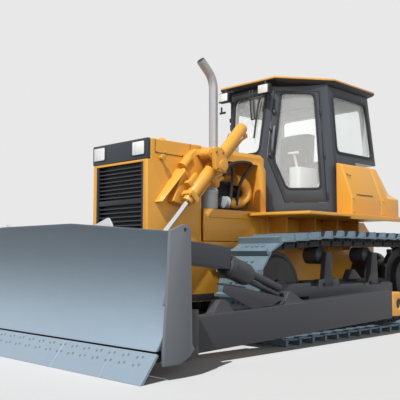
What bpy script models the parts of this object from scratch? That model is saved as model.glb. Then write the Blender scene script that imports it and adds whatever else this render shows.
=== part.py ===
"""A track-type bulldozer with a straight blade on outside push arms and a six-sided cab.

Metres, +Z up. The machine faces -Y, and its left side is +X. Lengths along the machine are
stations, measured back from the top edge of the blade; the datum empty moves the whole machine
forward by MID_STATION, which puts the origin on the ground under the middle of the machine.
"""

import math

import bmesh
import bpy
from mathutils import Matrix, Vector

# ---- driving dimensions -------------------------------------------------------------------
MID_STATION = 2.31          # station of the middle of the overall length
GAP = 0.0003                # between pieces that touch
RUNNING_GAP = 0.005         # round a door
SIDES = (("left", 1.0), ("right", -1.0))

# blade
BLADE_HALF = 1.694
BLADE_TOP_END = 1.0116      # height of the top edge at the ends
BLADE_TOP_MIDDLE = 1.0954   # height of its raised middle
BLADE_MIDDLE_HALF = 0.5538
BLADE_ARC_RADIUS = 0.82     # hollow of the moldboard
BLADE_ARC_CENTRE = (-0.761, 0.6955)
BLADE_SKIN = 0.022
BLADE_ARC_FOOT = 0.20       # height where the arc ends and the cutting edge begins
END_PLATE = 0.026
EDGE_TIP = (-0.26, 0.0)     # cutting edge, station and height
EDGE_SLOPE = math.radians(52.8)
EDGE_LENGTH = 0.24
EDGE_THICKNESS = 0.025
BEAM_REAR = 0.30            # back of the lower box beam

# push arms and lift
ARM_IN, ARM_OUT = 1.235, 1.37
ARM_END = 3.46
LIFT_PIVOT = (3.60, 0.32)
PIN_RADIUS = 0.05
CAP_RADIUS = 0.13
LIFT_X = 0.60               # the lift cylinders stand this far out
TRUNNION = (1.531, 1.689)
LIFT_EYE = (0.50, 0.62)
BARREL_RADIUS, BARREL_BORE = 0.0615, 0.045
BARREL_AHEAD, BARREL_BEHIND = 0.50, 0.62
ROD_RADIUS, ROD_INSIDE = 0.0245, 0.39
GLAND = 0.03                # length of the close-fitting mouth of a barrel

# tracks
TRACK_IN, TRACK_OUT = 0.685, 1.195
LINK_IN, LINK_OUT = 0.85, 1.03
SHOE_PITCH = 0.203
SHOE_PLATE, LINK_DEPTH, GROUSER = 0.025, 0.10, 0.055
CHAIN_GAP = 0.004           # between the chain and what it runs on
SHOE_RADIUS = 0.465         # outside of the shoe plates round the idler and the sprocket
IDLER = (1.98, 0.52)
SPROCKET = (4.36, 0.57)
CARRIERS = (2.72, 3.58)
CARRIER_RADIUS = 0.09
ROLLERS = tuple(2.42 + 0.26 * k for k in range(7))
ROLLER_RADIUS = 0.10
FRAME_IN, FRAME_OUT = 0.79, 1.09
FRAME_TOP = 0.58

# body
GUARD_HALF = 0.4174
GUARD_FRONT = 0.862
GUARD_REAR = 1.56
HOOD_TOP = 1.9187
HULL_HALF = 0.45
DECK_TOP, DECK_THICK = 1.275, 0.03
DECK_OUT = 1.17
TANK_OUT = 1.06

# cab: the door plane and the side plane share the line through these two points
JOINT_HIGH = Vector((0.74, 3.24, 2.72))
JOINT_LOW = Vector((0.81, 3.31, 1.35))
CAB_FRONT_HIGH = Vector((0.31, 2.77, 2.75))
CAB_REAR_HIGH = Vector((0.71, 4.105, 2.76))
CAB_FLOOR, CAB_WAIST, CAB_TOP = 1.2755, 1.92, 2.775
CAB_LOWER_REAR = 3.74
CAB_WALL = 0.045
GLASS = 0.008
ROOF_TOP = 2.8288

FINISHES = {  # colour, metallic, roughness
    "yellow_paint": ((0.80, 0.36, 0.06), 0.0, 0.40),
    "dark_paint": ((0.055, 0.060, 0.068), 0.0, 0.50),
    "cab_paint": ((0.060, 0.064, 0.080), 0.0, 0.42),
    "blade_steel": ((0.25, 0.31, 0.36), 0.6, 0.38),
    "track_steel": ((0.16, 0.24, 0.30), 0.6, 0.45),
    "black_plastic": ((0.015, 0.016, 0.018), 0.0, 0.55),
    "chrome": ((0.85, 0.86, 0.88), 1.0, 0.12),
    "bright_steel": ((0.62, 0.64, 0.67), 0.9, 0.30),
    "glass": ((0.90, 0.94, 0.94), 0.0, 0.05),
    "seat_cover": ((0.10, 0.10, 0.11), 0.0, 0.85),
    "light_trim": ((0.55, 0.56, 0.55), 0.0, 0.60),
}


# ---- shape helpers ------------------------------------------------------------------------
def mesh_of(points, faces):
    """A bmesh from points and index faces, its faces turned outwards."""
    bm = bmesh.new()
    verts = [bm.verts.new(p) for p in points]
    for face in faces:
        bm.faces.new([verts[i] for i in face])
    bmesh.ops.recalc_face_normals(bm, faces=bm.faces)
    return bm


def loft(rings, closed=False):
    """Skin rings that have equal point counts, with flat ends unless the run is closed."""
    count = len(rings[0])
    points = [p for ring in rings for p in ring]
    faces = []
    spans = len(rings) if closed else len(rings) - 1
    for r in range(spans):
        low, high = r * count, ((r + 1) % len(rings)) * count
        for i in range(count):
            j = (i + 1) % count
            faces.append((low + i, low + j, high + j, high + i))
    if not closed:
        faces.append(tuple(reversed(range(count))))
        faces.append(tuple(range(len(points) - count, len(points))))
    return mesh_of(points, faces)


def slab_x(outline, x0, x1):
    """A plate across the machine: its outline is in station and height."""
    return loft([[(x, s, z) for s, z in outline] for x in (x0, x1)])


def slab_y(outline, y0, y1):
    """A plate square to the machine's length: its outline is in width and height."""
    return loft([[(x, y, z) for x, z in outline] for y in (y0, y1)])


def slab_z(outline, z0, z1):
    """A level plate: its outline is in width and station."""
    return loft([[(x, y, z) for x, y in outline] for z in (z0, z1)])


def block(x0, x1, y0, y1, z0, z1):
    """A rectangular block between two corners."""
    return slab_x([(y0, z0), (y1, z0), (y1, z1), (y0, z1)], x0, x1)


def turned(start, end, profile, sides=16):
    """A solid of revolution about start-end; profile is (distance along, radius) pairs."""
    axis = (Vector(end) - Vector(start)).normalized()
    across = axis.orthogonal().normalized()
    other = axis.cross(across)
    rings = []
    for along, radius in profile:
        centre = Vector(start) + axis * along
        turns = [2 * math.pi * k / sides for k in range(sides)]
        rings.append([centre + (across * math.cos(t) + other * math.sin(t)) * radius for t in turns])
    return loft(rings)


def rod(start, end, radius, sides=16):
    """A plain round bar."""
    length = (Vector(end) - Vector(start)).length
    return turned(start, end, ((0, radius), (length, radius)), sides)


def pipe(path, radius, sides=12):
    """A round pipe along points that lie in one plane square to X."""
    rings = []
    for i, point in enumerate(path):
        before, after = path[max(i - 1, 0)], path[min(i + 1, len(path) - 1)]
        along = (Vector(after) - Vector(before)).normalized()
        across = Vector((1, 0, 0))
        other = along.cross(across)
        turns = [2 * math.pi * k / sides for k in range(sides)]
        rings.append([Vector(point) + (across * math.cos(t) + other * math.sin(t)) * radius for t in turns])
    return loft(rings)


def arc(centre, radius, start, end, steps):
    """Points on an arc, angles in degrees."""
    turns = [math.radians(start + (end - start) * k / steps) for k in range(steps + 1)]
    return [(centre[0] + radius * math.cos(t), centre[1] + radius * math.sin(t)) for t in turns]


def rounded(outline, radius, steps=5):
    """The same outline with each corner replaced by a smooth curve."""
    result = []
    for i, corner in enumerate(outline):
        corner = Vector(corner)
        back = Vector(outline[i - 1]) - corner
        ahead = Vector(outline[(i + 1) % len(outline)]) - corner
        first = corner + back.normalized() * radius
        last = corner + ahead.normalized() * radius
        for k in range(steps + 1):
            t = k / steps
            result.append(tuple(first * (1 - t) ** 2 + corner * 2 * t * (1 - t) + last * t ** 2))
    return result


def grown(outline, distance):
    """An outline moved outwards by a distance; a negative one moves it inwards."""
    points = [Vector(p) for p in outline]
    area = sum(a.x * b.y - b.x * a.y for a, b in zip(points, points[1:] + points[:1]))
    turn = 1.0 if area > 0 else -1.0
    result = []
    for i, point in enumerate(points):
        before = (point - points[i - 1]).normalized()
        after = (points[(i + 1) % len(points)] - point).normalized()
        n1, n2 = Vector((before.y, -before.x)) * turn, Vector((after.y, -after.x)) * turn
        result.append(tuple(point + (n1 + n2) * (distance / (1 + n1.dot(n2)))))
    return result


def combine(body, parts, operation):
    """Join parts to a body, or cut them out of it, with an exact Boolean."""
    held = []
    for bm in (body, *parts):
        mesh = bpy.data.meshes.new("scratch")
        bm.to_mesh(mesh)
        bm.free()
        held.append(bpy.data.objects.new("scratch", mesh))
        bpy.context.scene.collection.objects.link(held[-1])
    for tool in held[1:]:
        modifier = held[0].modifiers.new("combine", "BOOLEAN")
        modifier.operation = operation
        modifier.solver = "EXACT"
        modifier.object = tool
    evaluated = held[0].evaluated_get(bpy.context.evaluated_depsgraph_get())
    result = bmesh.new()
    result.from_mesh(evaluated.to_mesh())
    evaluated.to_mesh_clear()
    for item in held:
        mesh = item.data
        bpy.data.objects.remove(item)
        bpy.data.meshes.remove(mesh)
    bmesh.ops.remove_doubles(result, verts=result.verts, dist=0.00002)
    bmesh.ops.dissolve_limit(result, angle_limit=0.002, verts=result.verts, edges=result.edges)
    return result


def join(body, *parts):
    """One body from several that cross."""
    return combine(body, parts, "UNION")


def cut(body, *parts):
    """A body with the parts taken out."""
    return combine(body, parts, "DIFFERENCE")


def mirrored(bm, sign):
    """The left-hand shape, or its mirror image for the right."""
    if sign < 0:
        bmesh.ops.transform(bm, matrix=Matrix.Scale(-1, 4, (1, 0, 0)), verts=bm.verts)
        bmesh.ops.recalc_face_normals(bm, faces=bm.faces)
    return bm


def finish_material(finish):
    """The material of a finish, made once."""
    material = bpy.data.materials.get(finish)
    if material is None:
        colour, metallic, roughness = FINISHES[finish]
        material = bpy.data.materials.new(finish)
        material.use_nodes = True
        shader = material.node_tree.nodes["Principled BSDF"]
        shader.inputs["Base Color"].default_value = (*colour, 1.0)
        shader.inputs["Metallic"].default_value = metallic
        shader.inputs["Roughness"].default_value = roughness
    return material


def piece(name, bm, finish, datum, origin=(0.0, 0.0, 0.0)):
    """Make the named object, its origin on its joint where it has one."""
    bmesh.ops.translate(bm, vec=-Vector(origin), verts=bm.verts)
    bmesh.ops.triangulate(bm, faces=bm.faces)
    mesh = bpy.data.meshes.new(name)
    bm.to_mesh(mesh)
    bm.free()
    mesh.shade_smooth()
    mesh.set_sharp_from_angle(angle=math.radians(35))
    mesh.materials.append(finish_material(finish))
    item = bpy.data.objects.new(name, mesh)
    bpy.context.scene.collection.objects.link(item)
    item.location = origin
    item.parent = datum
    return item


# ---- blade --------------------------------------------------------------------------------
def blade_arc(height, radius):
    """Station of the moldboard's arc at a height, for its face or its back."""
    centre_station, centre_height = BLADE_ARC_CENTRE
    return centre_station + math.sqrt(radius ** 2 - (height - centre_height) ** 2)


def moldboard():
    """The hollow plate of the blade, its top edge raised in the middle."""
    tops = (BLADE_TOP_END, BLADE_TOP_MIDDLE, BLADE_TOP_MIDDLE, BLADE_TOP_END)
    inside = BLADE_HALF - END_PLATE - GAP
    widths = (-inside, -BLADE_MIDDLE_HALF, BLADE_MIDDLE_HALF, inside)
    rings = []
    for x, top in zip(widths, tops):
        heights = [BLADE_ARC_FOOT + (top - BLADE_ARC_FOOT) * k / 12 for k in range(13)]
        face = [(x, blade_arc(z, BLADE_ARC_RADIUS), z) for z in heights]
        back = [(x, blade_arc(z, BLADE_ARC_RADIUS + BLADE_SKIN), z) for z in reversed(heights)]
        rings.append(face + back)
    return loft(rings)


def cutting_edge():
    """The bolted edge along the foot of the blade, over its whole width."""
    along = Vector((math.cos(EDGE_SLOPE), math.sin(EDGE_SLOPE)))
    behind = Vector((along.y, -along.x)) * EDGE_THICKNESS
    tip = Vector(EDGE_TIP)
    top = tip + along * EDGE_LENGTH
    heel = tip + Vector((EDGE_THICKNESS / along.y, 0))
    return slab_x([tip, heel, top + behind, top], -BLADE_HALF, BLADE_HALF)


def beam_outline(low, high, rear, steps=5):
    """A box beam that follows the back of the moldboard between two heights."""
    radius = BLADE_ARC_RADIUS + BLADE_SKIN + 5 * GAP
    heights = [low + (high - low) * k / steps for k in range(steps + 1)]
    front = [(blade_arc(z, radius), z) for z in heights]
    return front + [(rear, high), (rear, low)]


def blade_frame():
    """Box beams, end plates and brackets welded to the back of the blade."""
    inner = BLADE_HALF - END_PLATE
    end_plate = [(0.0, 1.012), (-0.027, 0.503), (-0.055, 0.20), (-0.055, 0.10), (0.10, 0.10),
                 (0.187, 0.142), (0.236, 0.190), (0.212, 0.227), (0.198, 1.016), (0.125, 1.059)]
    tilt_box = [(0.105, 0.99), (0.944, 0.911), (0.937, 0.727), (0.105, 0.82)]
    cheek = [(0.12, 0.40), (0.12, 0.60), (0.40, 0.71), (0.55, 0.68), (0.58, 0.60), (0.50, 0.50),
             (0.29, 0.40)]
    foot = [(-0.05, 0.115), (0.02, 0.205), (BEAM_REAR, 0.205), (BEAM_REAR, 0.13), (0.20, 0.105)]
    beam = slab_x(beam_outline(0.202, 0.46, BEAM_REAR), -inner - 0.01, inner + 0.01)
    upper = slab_x(beam_outline(0.84, 0.97, 0.16), -inner - 0.01, inner + 0.01)
    parts = [upper, slab_x(foot, -inner - 0.01, inner + 0.01)]
    for _, sign in SIDES:
        parts.append(mirrored(slab_x(end_plate, inner, BLADE_HALF), sign))
        parts.append(mirrored(slab_x(tilt_box, 1.215, 1.385), sign))
        for x in (0.538, 0.632):
            parts.append(mirrored(slab_x(cheek, x, x + 0.03), sign))
    return join(beam, *parts)


def push_arm():
    """The left box arm, with the lug and the bracket for its brace."""
    outline = [(BEAM_REAR + GAP, 0.205), (BEAM_REAR + 0.12, 0.087), (ARM_END, 0.179),
               (ARM_END, 0.472), (BEAM_REAR + 0.12, 0.365), (BEAM_REAR + GAP, 0.33)]
    lug = [(0.745, 0.35), (0.846, 0.489), (0.93, 0.484), (1.041, 0.36)]
    bracket = [(1.63, 0.38), (1.73, 0.523), (1.76, 0.52), (2.01, 0.39)]
    middle = (ARM_IN + ARM_OUT) / 2
    return join(
        slab_x(outline, ARM_IN, ARM_OUT),
        slab_x(lug, middle - 0.045, middle + 0.045),
        slab_x(bracket, middle - 0.05, middle + 0.05),
    )


def trunnion_cap():
    """The bearing cap on the end of the left arm, bored for the trunnion pin."""
    s, z = LIFT_PIVOT
    outline = [(ARM_END + GAP, z + 0.125), (ARM_END + GAP, z - 0.125)]
    outline += arc((s, z), CAP_RADIUS, -90, 90, 12)
    bore = rod((ARM_IN - 0.1, s, z), (ARM_OUT + 0.1, s, z), PIN_RADIUS + 0.004)
    return cut(slab_x(outline, ARM_IN, ARM_OUT), bore)


def tilt_brace():
    """The cylinder that braces the top of the blade off the left arm."""
    x = (ARM_IN + ARM_OUT) / 2
    start, end = Vector((x, 0.962, 0.76)), Vector((x, 1.655, 0.535))
    length = (end - start).length
    return turned(start, end, ((0, 0.078), (0.25, 0.078), (0.27, 0.05), (0.27, 0.034), (length, 0.034)))


# ---- lift cylinders -----------------------------------------------------------------------
def lift_axis():
    """Unit vector from the trunnion to the rod's eye."""
    return Vector((0, LIFT_EYE[0] - TRUNNION[0], LIFT_EYE[1] - TRUNNION[1])).normalized()


def lift_barrel():
    """The left barrel, bored from its lower end, with its trunnion collar."""
    centre, axis = Vector((LIFT_X, *TRUNNION)), lift_axis()
    top = centre - axis * BARREL_BEHIND
    length = BARREL_AHEAD + BARREL_BEHIND
    shell = turned(top, centre, (
        (0, 0.045), (0.02, BARREL_RADIUS), (BARREL_BEHIND - 0.05, BARREL_RADIUS),
        (BARREL_BEHIND - 0.05, 0.072), (BARREL_BEHIND + 0.05, 0.072),
        (BARREL_BEHIND + 0.05, BARREL_RADIUS), (length - 0.07, BARREL_RADIUS),
        (length - 0.07, 0.078), (length - 0.02, 0.078), (length, 0.05)), 18)
    stubs = rod(centre - Vector((0.125, 0, 0)), centre + Vector((0.125, 0, 0)), 0.032, 12)
    mouth, inside = length - 0.05 - GLAND, BARREL_BORE
    bore = turned(top + axis * 0.05, top + axis * length, (
        (0, inside), (mouth, inside), (mouth, ROD_RADIUS + 0.0015), (length, ROD_RADIUS + 0.0015)), 18)
    return cut(join(shell, stubs), bore)


def lift_rod():
    """The left piston and its rod, from inside the barrel to its eye."""
    centre, axis = Vector((LIFT_X, *TRUNNION)), lift_axis()
    eye = Vector((LIFT_X, *LIFT_EYE))
    inner = centre + axis * (BARREL_AHEAD - ROD_INSIDE)
    piston = BARREL_BORE - 0.0012
    length = (eye - inner).length
    shaft = turned(inner, eye, ((0, piston), (0.034, piston), (0.034, ROD_RADIUS), (length, ROD_RADIUS)), 18)
    ring = rod(eye - Vector((0.022, 0, 0)), eye + Vector((0.022, 0, 0)), 0.055)
    return join(shaft, ring)


def lift_yoke():
    """The left yoke on the radiator guard, which holds the barrel's trunnions."""
    s, z = TRUNNION
    inner_cheek = [(1.10, 1.34), (1.28, 1.30), (1.56, 1.56), (1.60, 1.72), (1.54, 1.83),
                   (1.40, 1.86), (1.30, 1.78)]
    outer_cheek = rounded([(s - 0.10, z - 0.06), (s + 0.05, z - 0.075), (s + 0.075, z + 0.03),
                           (s, z + 0.17), (s - 0.13, z + 0.17)], 0.03, 3)
    bridge = [(s - 0.13, z + 0.105), (s - 0.01, z + 0.115), (s - 0.02, z + 0.165), (s - 0.12, z + 0.165)]
    bore = rod((GUARD_HALF + 0.02, s, z), (0.90, s, z), 0.036, 12)
    body = join(
        slab_x(inner_cheek, GUARD_HALF + GAP, 0.505),
        slab_x(outer_cheek, 0.69, 0.74),
        slab_x(bridge, 0.49, 0.71),
    )
    return cut(body, bore)


# ---- undercarriage ------------------------------------------------------------------------
def belt(circles):
    """Stations and heights round the outside of circles, in order, as short pieces."""
    points = []
    count = len(circles)
    for i, (centre, radius) in enumerate(circles):
        previous, following = circles[i - 1], circles[(i + 1) % count]
        start = tangent_angle(previous, (centre, radius))
        end = tangent_angle((centre, radius), following)
        while end < start:
            end += 2 * math.pi
        steps = max(1, round((end - start) / math.radians(8)))
        for k in range(steps + 1):
            t = start + (end - start) * k / steps
            points.append(Vector(centre) + Vector((math.cos(t), math.sin(t))) * radius)
    return points


def tangent_angle(first, second):
    """Angle of the outward normal on the line that touches two circles."""
    (c1, r1), (c2, r2) = first, second
    span = Vector(c2) - Vector(c1)
    heading = math.atan2(span.y, span.x)
    return heading - math.acos((r1 - r2) / span.length)


def evenly(points, count):
    """Points at equal distances round a closed line, each with its outward normal."""
    ends = points[1:] + points[:1]
    lengths = [(b - a).length for a, b in zip(points, ends)]
    step = sum(lengths) / count
    result, walked, i = [], 0.0, 0
    for k in range(count):
        while walked + lengths[i] < k * step:
            walked += lengths[i]
            i += 1
        along = (ends[i] - points[i]).normalized()
        spot = points[i] + along * (k * step - walked)
        result.append((spot, Vector((along.y, -along.x))))
    return result


def track_line():
    """The closed line on which the shoe plates lie: down the front, back along the ground."""
    ground, top = GROUSER, SPROCKET[1] + SHOE_RADIUS
    bend = 0.16
    circles = [(IDLER, SHOE_RADIUS), ((4.10, ground + bend), bend), (SPROCKET, SHOE_RADIUS)]
    circles += [((station, top - bend), bend) for station in reversed(CARRIERS)]
    return belt(circles)


def track():
    """The left track as one loop: shoes with their grousers over the chain."""
    line = track_line()
    length = sum((b - a).length for a, b in zip(line, line[1:] + line[:1]))
    shoes = round(length / SHOE_PITCH)
    rings = []
    for k, (spot, out) in enumerate(evenly(line, 2 * shoes)):
        rise = GROUSER if k % 2 else 0.0
        section = ((TRACK_IN, rise), (TRACK_OUT, rise), (TRACK_OUT, -SHOE_PLATE),
                   (LINK_OUT, -SHOE_PLATE), (LINK_OUT, -LINK_DEPTH), (LINK_IN, -LINK_DEPTH),
                   (LINK_IN, -SHOE_PLATE), (TRACK_IN, -SHOE_PLATE))
        rings.append([(x, *(spot + out * offset)) for x, offset in section])
    return loft(rings, closed=True)


def track_frame():
    """The left roller frame with its rollers, carrier posts, idler fork and push-arm pin."""
    low, fork_in, fork_out = 0.31, FRAME_IN + 0.04, FRAME_OUT - 0.04
    profile = [(FRAME_IN, low), (FRAME_OUT, low), (FRAME_OUT, FRAME_TOP - 0.06),
               (FRAME_OUT - 0.08, FRAME_TOP), (FRAME_IN, FRAME_TOP)]
    body = slab_y(profile, IDLER[0] + 0.40, 3.95)
    parts = []
    for x0, x1 in ((FRAME_IN, fork_in), (fork_out, FRAME_OUT)):
        parts.append(block(x0, x1, IDLER[0] - 0.10, IDLER[0] + 0.42, 0.44, FRAME_TOP - 0.01))
    for station in ROLLERS:
        wheel = ((0, 0.07), (0.03, ROLLER_RADIUS), (0.20, ROLLER_RADIUS), (0.23, 0.07))
        parts.append(turned((0.825, station, 0.2565), (1.055, station, 0.2565), wheel, 14))
    carrier_height = SPROCKET[1] + SHOE_RADIUS - LINK_DEPTH - CARRIER_RADIUS - CHAIN_GAP
    for station in CARRIERS:
        post = [(station - 0.10, FRAME_TOP - 0.05), (station + 0.07, FRAME_TOP - 0.05),
                (station + 0.045, carrier_height + 0.03), (station - 0.045, carrier_height + 0.03)]
        parts.append(slab_x(post, 1.035, FRAME_OUT))
        wheel = ((0, 0.06), (0.02, CARRIER_RADIUS), (0.19, CARRIER_RADIUS), (0.22, 0.05), (0.26, 0.03))
        parts.append(turned((0.80, station, carrier_height), (1.06, station, carrier_height), wheel, 14))
    s, z = LIFT_PIVOT
    parts.append(block(FRAME_OUT - 0.02, 1.222, s - 0.11, s + 0.11, z - 0.10, z + 0.12))
    parts.append(rod((1.20, s, z), (ARM_OUT - 0.02, s, z), PIN_RADIUS))
    return join(body, *parts)


def idler():
    """The left front idler with its hub."""
    s, z = IDLER
    radius = SHOE_RADIUS - LINK_DEPTH - CHAIN_GAP
    return turned((FRAME_IN + 0.04 + GAP, s, z), (FRAME_OUT, s, z), (
        (0, 0.09), (0.04, 0.09), (0.04, 0.30), (0.06, 0.33), (0.06, radius),
        (0.16, radius), (0.16, 0.33), (0.18, 0.30), (0.18, 0.09), (0.22 - 2 * GAP, 0.09)), 30)


def sprocket():
    """The left sprocket with the final drive that carries it out from the hull."""
    s, z = SPROCKET
    radius = SHOE_RADIUS - LINK_DEPTH - CHAIN_GAP
    base = HULL_HALF + GAP
    spans = ((0.0, 0.30), (0.20, 0.30), (0.25, 0.22), (0.46, 0.22), (0.46, radius), (0.52, radius),
             (0.52, 0.26), (0.60, 0.26), (0.64, 0.20), (0.66, 0.10))
    return turned((base, s, z), (TRACK_OUT, s, z), spans, 30)


# ---- hull and nose ------------------------------------------------------------------------
def hull():
    """The main frame, its cross bar and its rear shaft to the track frames."""
    outline = [(1.25, 0.46), (1.25, 0.7997), (GUARD_REAR + GAP, 0.7997), (GUARD_REAR + GAP, 0.9747), (2.5047, 0.9747),
               (2.5047, DECK_TOP - DECK_THICK - GAP), (4.40, DECK_TOP - DECK_THICK - GAP),
               (4.62, 1.05), (4.62, 0.50), (4.40, 0.40), (1.40, 0.40)]
    reach = FRAME_IN - GAP
    bar = block(-reach, reach, 2.42, 2.58, 0.43, 0.56)
    shaft = rod((-reach, 3.78, 0.44), (reach, 3.78, 0.44), 0.075)
    return join(slab_x(outline, -HULL_HALF, HULL_HALF), bar, shaft)


def drawbar():
    """The rear towing bracket: two plates and a cross block with a pin hole."""
    plate = [(4.62 + GAP, 0.42), (4.62 + GAP, 0.62), (4.80, 0.60), (4.88, 0.54), (4.88, 0.48), (4.80, 0.42)]
    back = block(-0.16, 0.16, 4.62 + GAP, 4.67, 0.42, 0.62)
    plates = [slab_x(plate, -0.10, -0.06), slab_x(plate, 0.06, 0.10)]
    pin = rod((0, 4.81, 0.40), (0, 4.81, 0.66), 0.025, 16)
    bridge = block(-0.08, 0.08, 4.76, 4.86, 0.44, 0.47)
    return join(back, *plates, bridge, pin)


def radiator_guard():
    """The nose casting round the radiator, open in front for the grille."""
    outline = [(GUARD_FRONT, 0.80), (GUARD_REAR, 0.80), (GUARD_REAR, HOOD_TOP),
               (0.9003, HOOD_TOP), (0.9003, 1.7255), (GUARD_FRONT, 1.7255)]
    recess = block(-0.352, 0.352, 0.80, 0.93, 0.86, 1.70)
    return cut(slab_x(outline, -GUARD_HALF, GUARD_HALF), recess)


def grille():
    """The louvred grille, with a plain band across its middle."""
    outline = [(0.9297, 0.8605), (0.9297, 1.6995)]
    pitch, count = 0.0419, 20
    for k in range(count):
        top = 1.6995 - k * pitch
        if k in (7, 8):
            outline += [(0.868, top), (0.868, top - pitch + 0.0001)]
        else:
            outline += [(0.892, top), (0.870, top - 0.75 * pitch)]
    outline.append((0.892, 0.8605))
    return slab_x(outline, -0.3515, 0.3515)


def header_panel():
    """The dark panel above the grille that holds the front lamps."""
    outline = [(0.8584, 1.7258), (0.90, 1.7258), (0.90, 1.9187), (0.866, 1.9187), (0.8584, 1.911)]
    return slab_x(outline, -GUARD_HALF, GUARD_HALF)


def hood():
    """The engine hood and the bulkhead it ends on."""
    half, low, shoulder, wall = GUARD_HALF, 1.80, 1.87, 0.025
    outer = [(-half, low), (-half, shoulder), (-half + 0.05, HOOD_TOP), (half - 0.05, HOOD_TOP),
             (half, shoulder), (half, low)]
    inner = [(half - wall, low), (half - wall, shoulder - 0.01), (half - 0.06, HOOD_TOP - wall),
             (0.06 - half, HOOD_TOP - wall), (wall - half, shoulder - 0.01), (wall - half, low)]
    shell = slab_y(outer + inner, GUARD_REAR + GAP, 2.50)
    bulkhead = [(-0.45, 0.9753), (0.45, 0.9753), (0.45, 1.74), (half - 0.01, 1.82),
                (half - 0.03, 1.88), (0.03 - half, 1.88), (0.01 - half, 1.82), (-0.45, 1.74)]
    return join(shell, slab_y(bulkhead, 2.40, 2.49))


def engine_side_panel():
    """The left lower cover beside the engine."""
    outline = [(GUARD_REAR + GAP, 0.98), (2.3997, 0.98), (2.3997, 1.298), (GUARD_REAR + GAP, 1.298)]
    return slab_x(outline, 0.425, 0.45)


def exhaust_pipe():
    """The upright exhaust with its forward bend."""
    x, station, radius, bend = -0.13, 2.28, 0.05, 0.24
    straight = 2.705
    path = [(x, station, HOOD_TOP + GAP), (x, station, 2.30), (x, station, straight)]
    for k in range(1, 7):
        t = math.radians(8 * k)
        path.append((x, station - bend * (1 - math.cos(t)), straight + bend * math.sin(t)))
    last, turn = Vector(path[-1]), math.radians(48)
    path.append(tuple(last + Vector((0, -math.sin(turn), math.cos(turn))) * 0.16))
    return pipe(path, radius, 14)


def turbo_duct():
    """The charge-air duct that loops beside the engine."""
    x = 0.31
    path = [(x, 1.98, 1.385), (x, 2.16, 1.38), (x, 2.26, 1.40), (x, 2.32, 1.46), (x, 2.325, 1.54),
            (x, 2.28, 1.60), (x, 2.20, 1.625), (x, 2.12, 1.625)]
    return pipe(path, 0.055)


# ---- platform and boxes -------------------------------------------------------------------
def platform():
    """The deck over the tracks, with its rear lip and the webs beneath it."""
    half = [(0.0, 2.505), (0.455, 2.505), (0.455, 2.20), (0.78, 2.20), (DECK_OUT, 2.29), (DECK_OUT, 4.20)]
    outline = half + [(-x, y) for x, y in reversed(half[1:])]
    deck = slab_z(outline, DECK_TOP - DECK_THICK, DECK_TOP)
    parts = []
    inner = HULL_HALF + GAP
    web = [(inner, 1.25), (inner, 0.90)] + arc((0.67, 0.90), 0.13, 180, 90, 6) + [(0.67, 1.25)]
    for _, sign in SIDES:
        lip = block(DECK_OUT - 0.03, DECK_OUT, 3.02, 4.20, 1.221, 1.25)
        parts.append(mirrored(lip, sign))
        for station in (2.56, 3.06, 3.49, 3.92):
            parts.append(mirrored(slab_y(web, station, station + 0.025), sign))
    return join(deck, *parts)


def box_profile():
    """Width and height of the side boxes: upright side, then a sloped shoulder."""
    return [(0.86, DECK_TOP + GAP), (TANK_OUT, DECK_TOP + GAP), (TANK_OUT, 1.49), (0.93, 1.84), (0.86, 1.86)]


def tool_box():
    """The left side box between the cab door and the fuel tank."""
    return slab_y(box_profile(), 3.20, 3.79)


def fuel_tank():
    """The tank across the rear, its back sloped."""
    rings = []
    for station, top, shoulder in ((3.79 + GAP, 1.86, 1.84), (3.91, 1.86, 1.84), (4.19, 1.58, 1.56)):
        low = DECK_TOP + GAP
        knee = min(1.49, shoulder - 0.02)
        half = ((TANK_OUT, low), (TANK_OUT, knee), (0.93, shoulder), (0.86, top))
        rings.append([(x, station, z) for x, z in half] + [(-x, station, z) for x, z in reversed(half)])
    return loft(rings)


# ---- cab ----------------------------------------------------------------------------------
def joint_at(height):
    """Point on the line where the door plane meets the side plane."""
    t = (height - JOINT_HIGH.z) / (JOINT_LOW.z - JOINT_HIGH.z)
    return JOINT_HIGH.lerp(JOINT_LOW, t)


def front_at(height):
    """Station of the cab's front: it leans back above the waist and tucks in below it."""
    if height > CAB_WAIST:
        return 2.66 + (height - CAB_WAIST) * 0.11 / 0.83
    return 2.66 + (CAB_WAIST - height) * 0.05 / 0.62


def rear_at(height):
    """Station of the cab's rear wall above the waist, leaning forward as it rises."""
    return 4.20 - (height - 1.924) * 0.095 / 0.836


class Wall:
    """A plane wall of the left side: points on it are (distance along, height)."""

    def __init__(self, third):
        self.normal = (JOINT_LOW - JOINT_HIGH).cross(third - JOINT_HIGH).normalized()
        if self.normal.x < 0:
            self.normal.negate()
        along = Vector((-self.normal.y, self.normal.x, 0)).normalized()
        self.along = along if along.dot(third - JOINT_HIGH) > 0 else -along

    def point(self, distance, height, proud=0.0):
        """A point in the wall, or proud of it along its normal."""
        return joint_at(height) + self.along * distance + self.normal * proud

    def meets(self, station, height):
        """Width of the wall at a station and a height."""
        start = joint_at(height)
        return start.x + self.along.x * (station - start.y) / self.along.y

    def plate(self, outline, inner, outer):
        """A plate along the wall between two distances from its face."""
        return loft([[self.point(s, z, w) for s, z in outline] for w in (inner, outer)])


DOOR_WALL = Wall(CAB_FRONT_HIGH)
SIDE_WALL = Wall(CAB_REAR_HIGH)
DOOR_OUTLINE = [(0.105, 2.68), (0.60, 2.68), (0.70, 2.20), (0.745, 1.93), (0.59, 1.43), (0.12, 1.43)]
DOOR_WINDOW = [(0.160, 2.66), (0.525, 2.665), (0.618, 2.167), (0.670, 1.907), (0.555, 1.585), (0.180, 1.59)]
SIDE_WINDOW = [(0.09, 2.645), (0.795, 2.645), (0.845, 2.01), (0.085, 2.01)]
DOOR_WINDOW_RADIUS, SIDE_WINDOW_RADIUS = 0.05, 0.06


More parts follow.
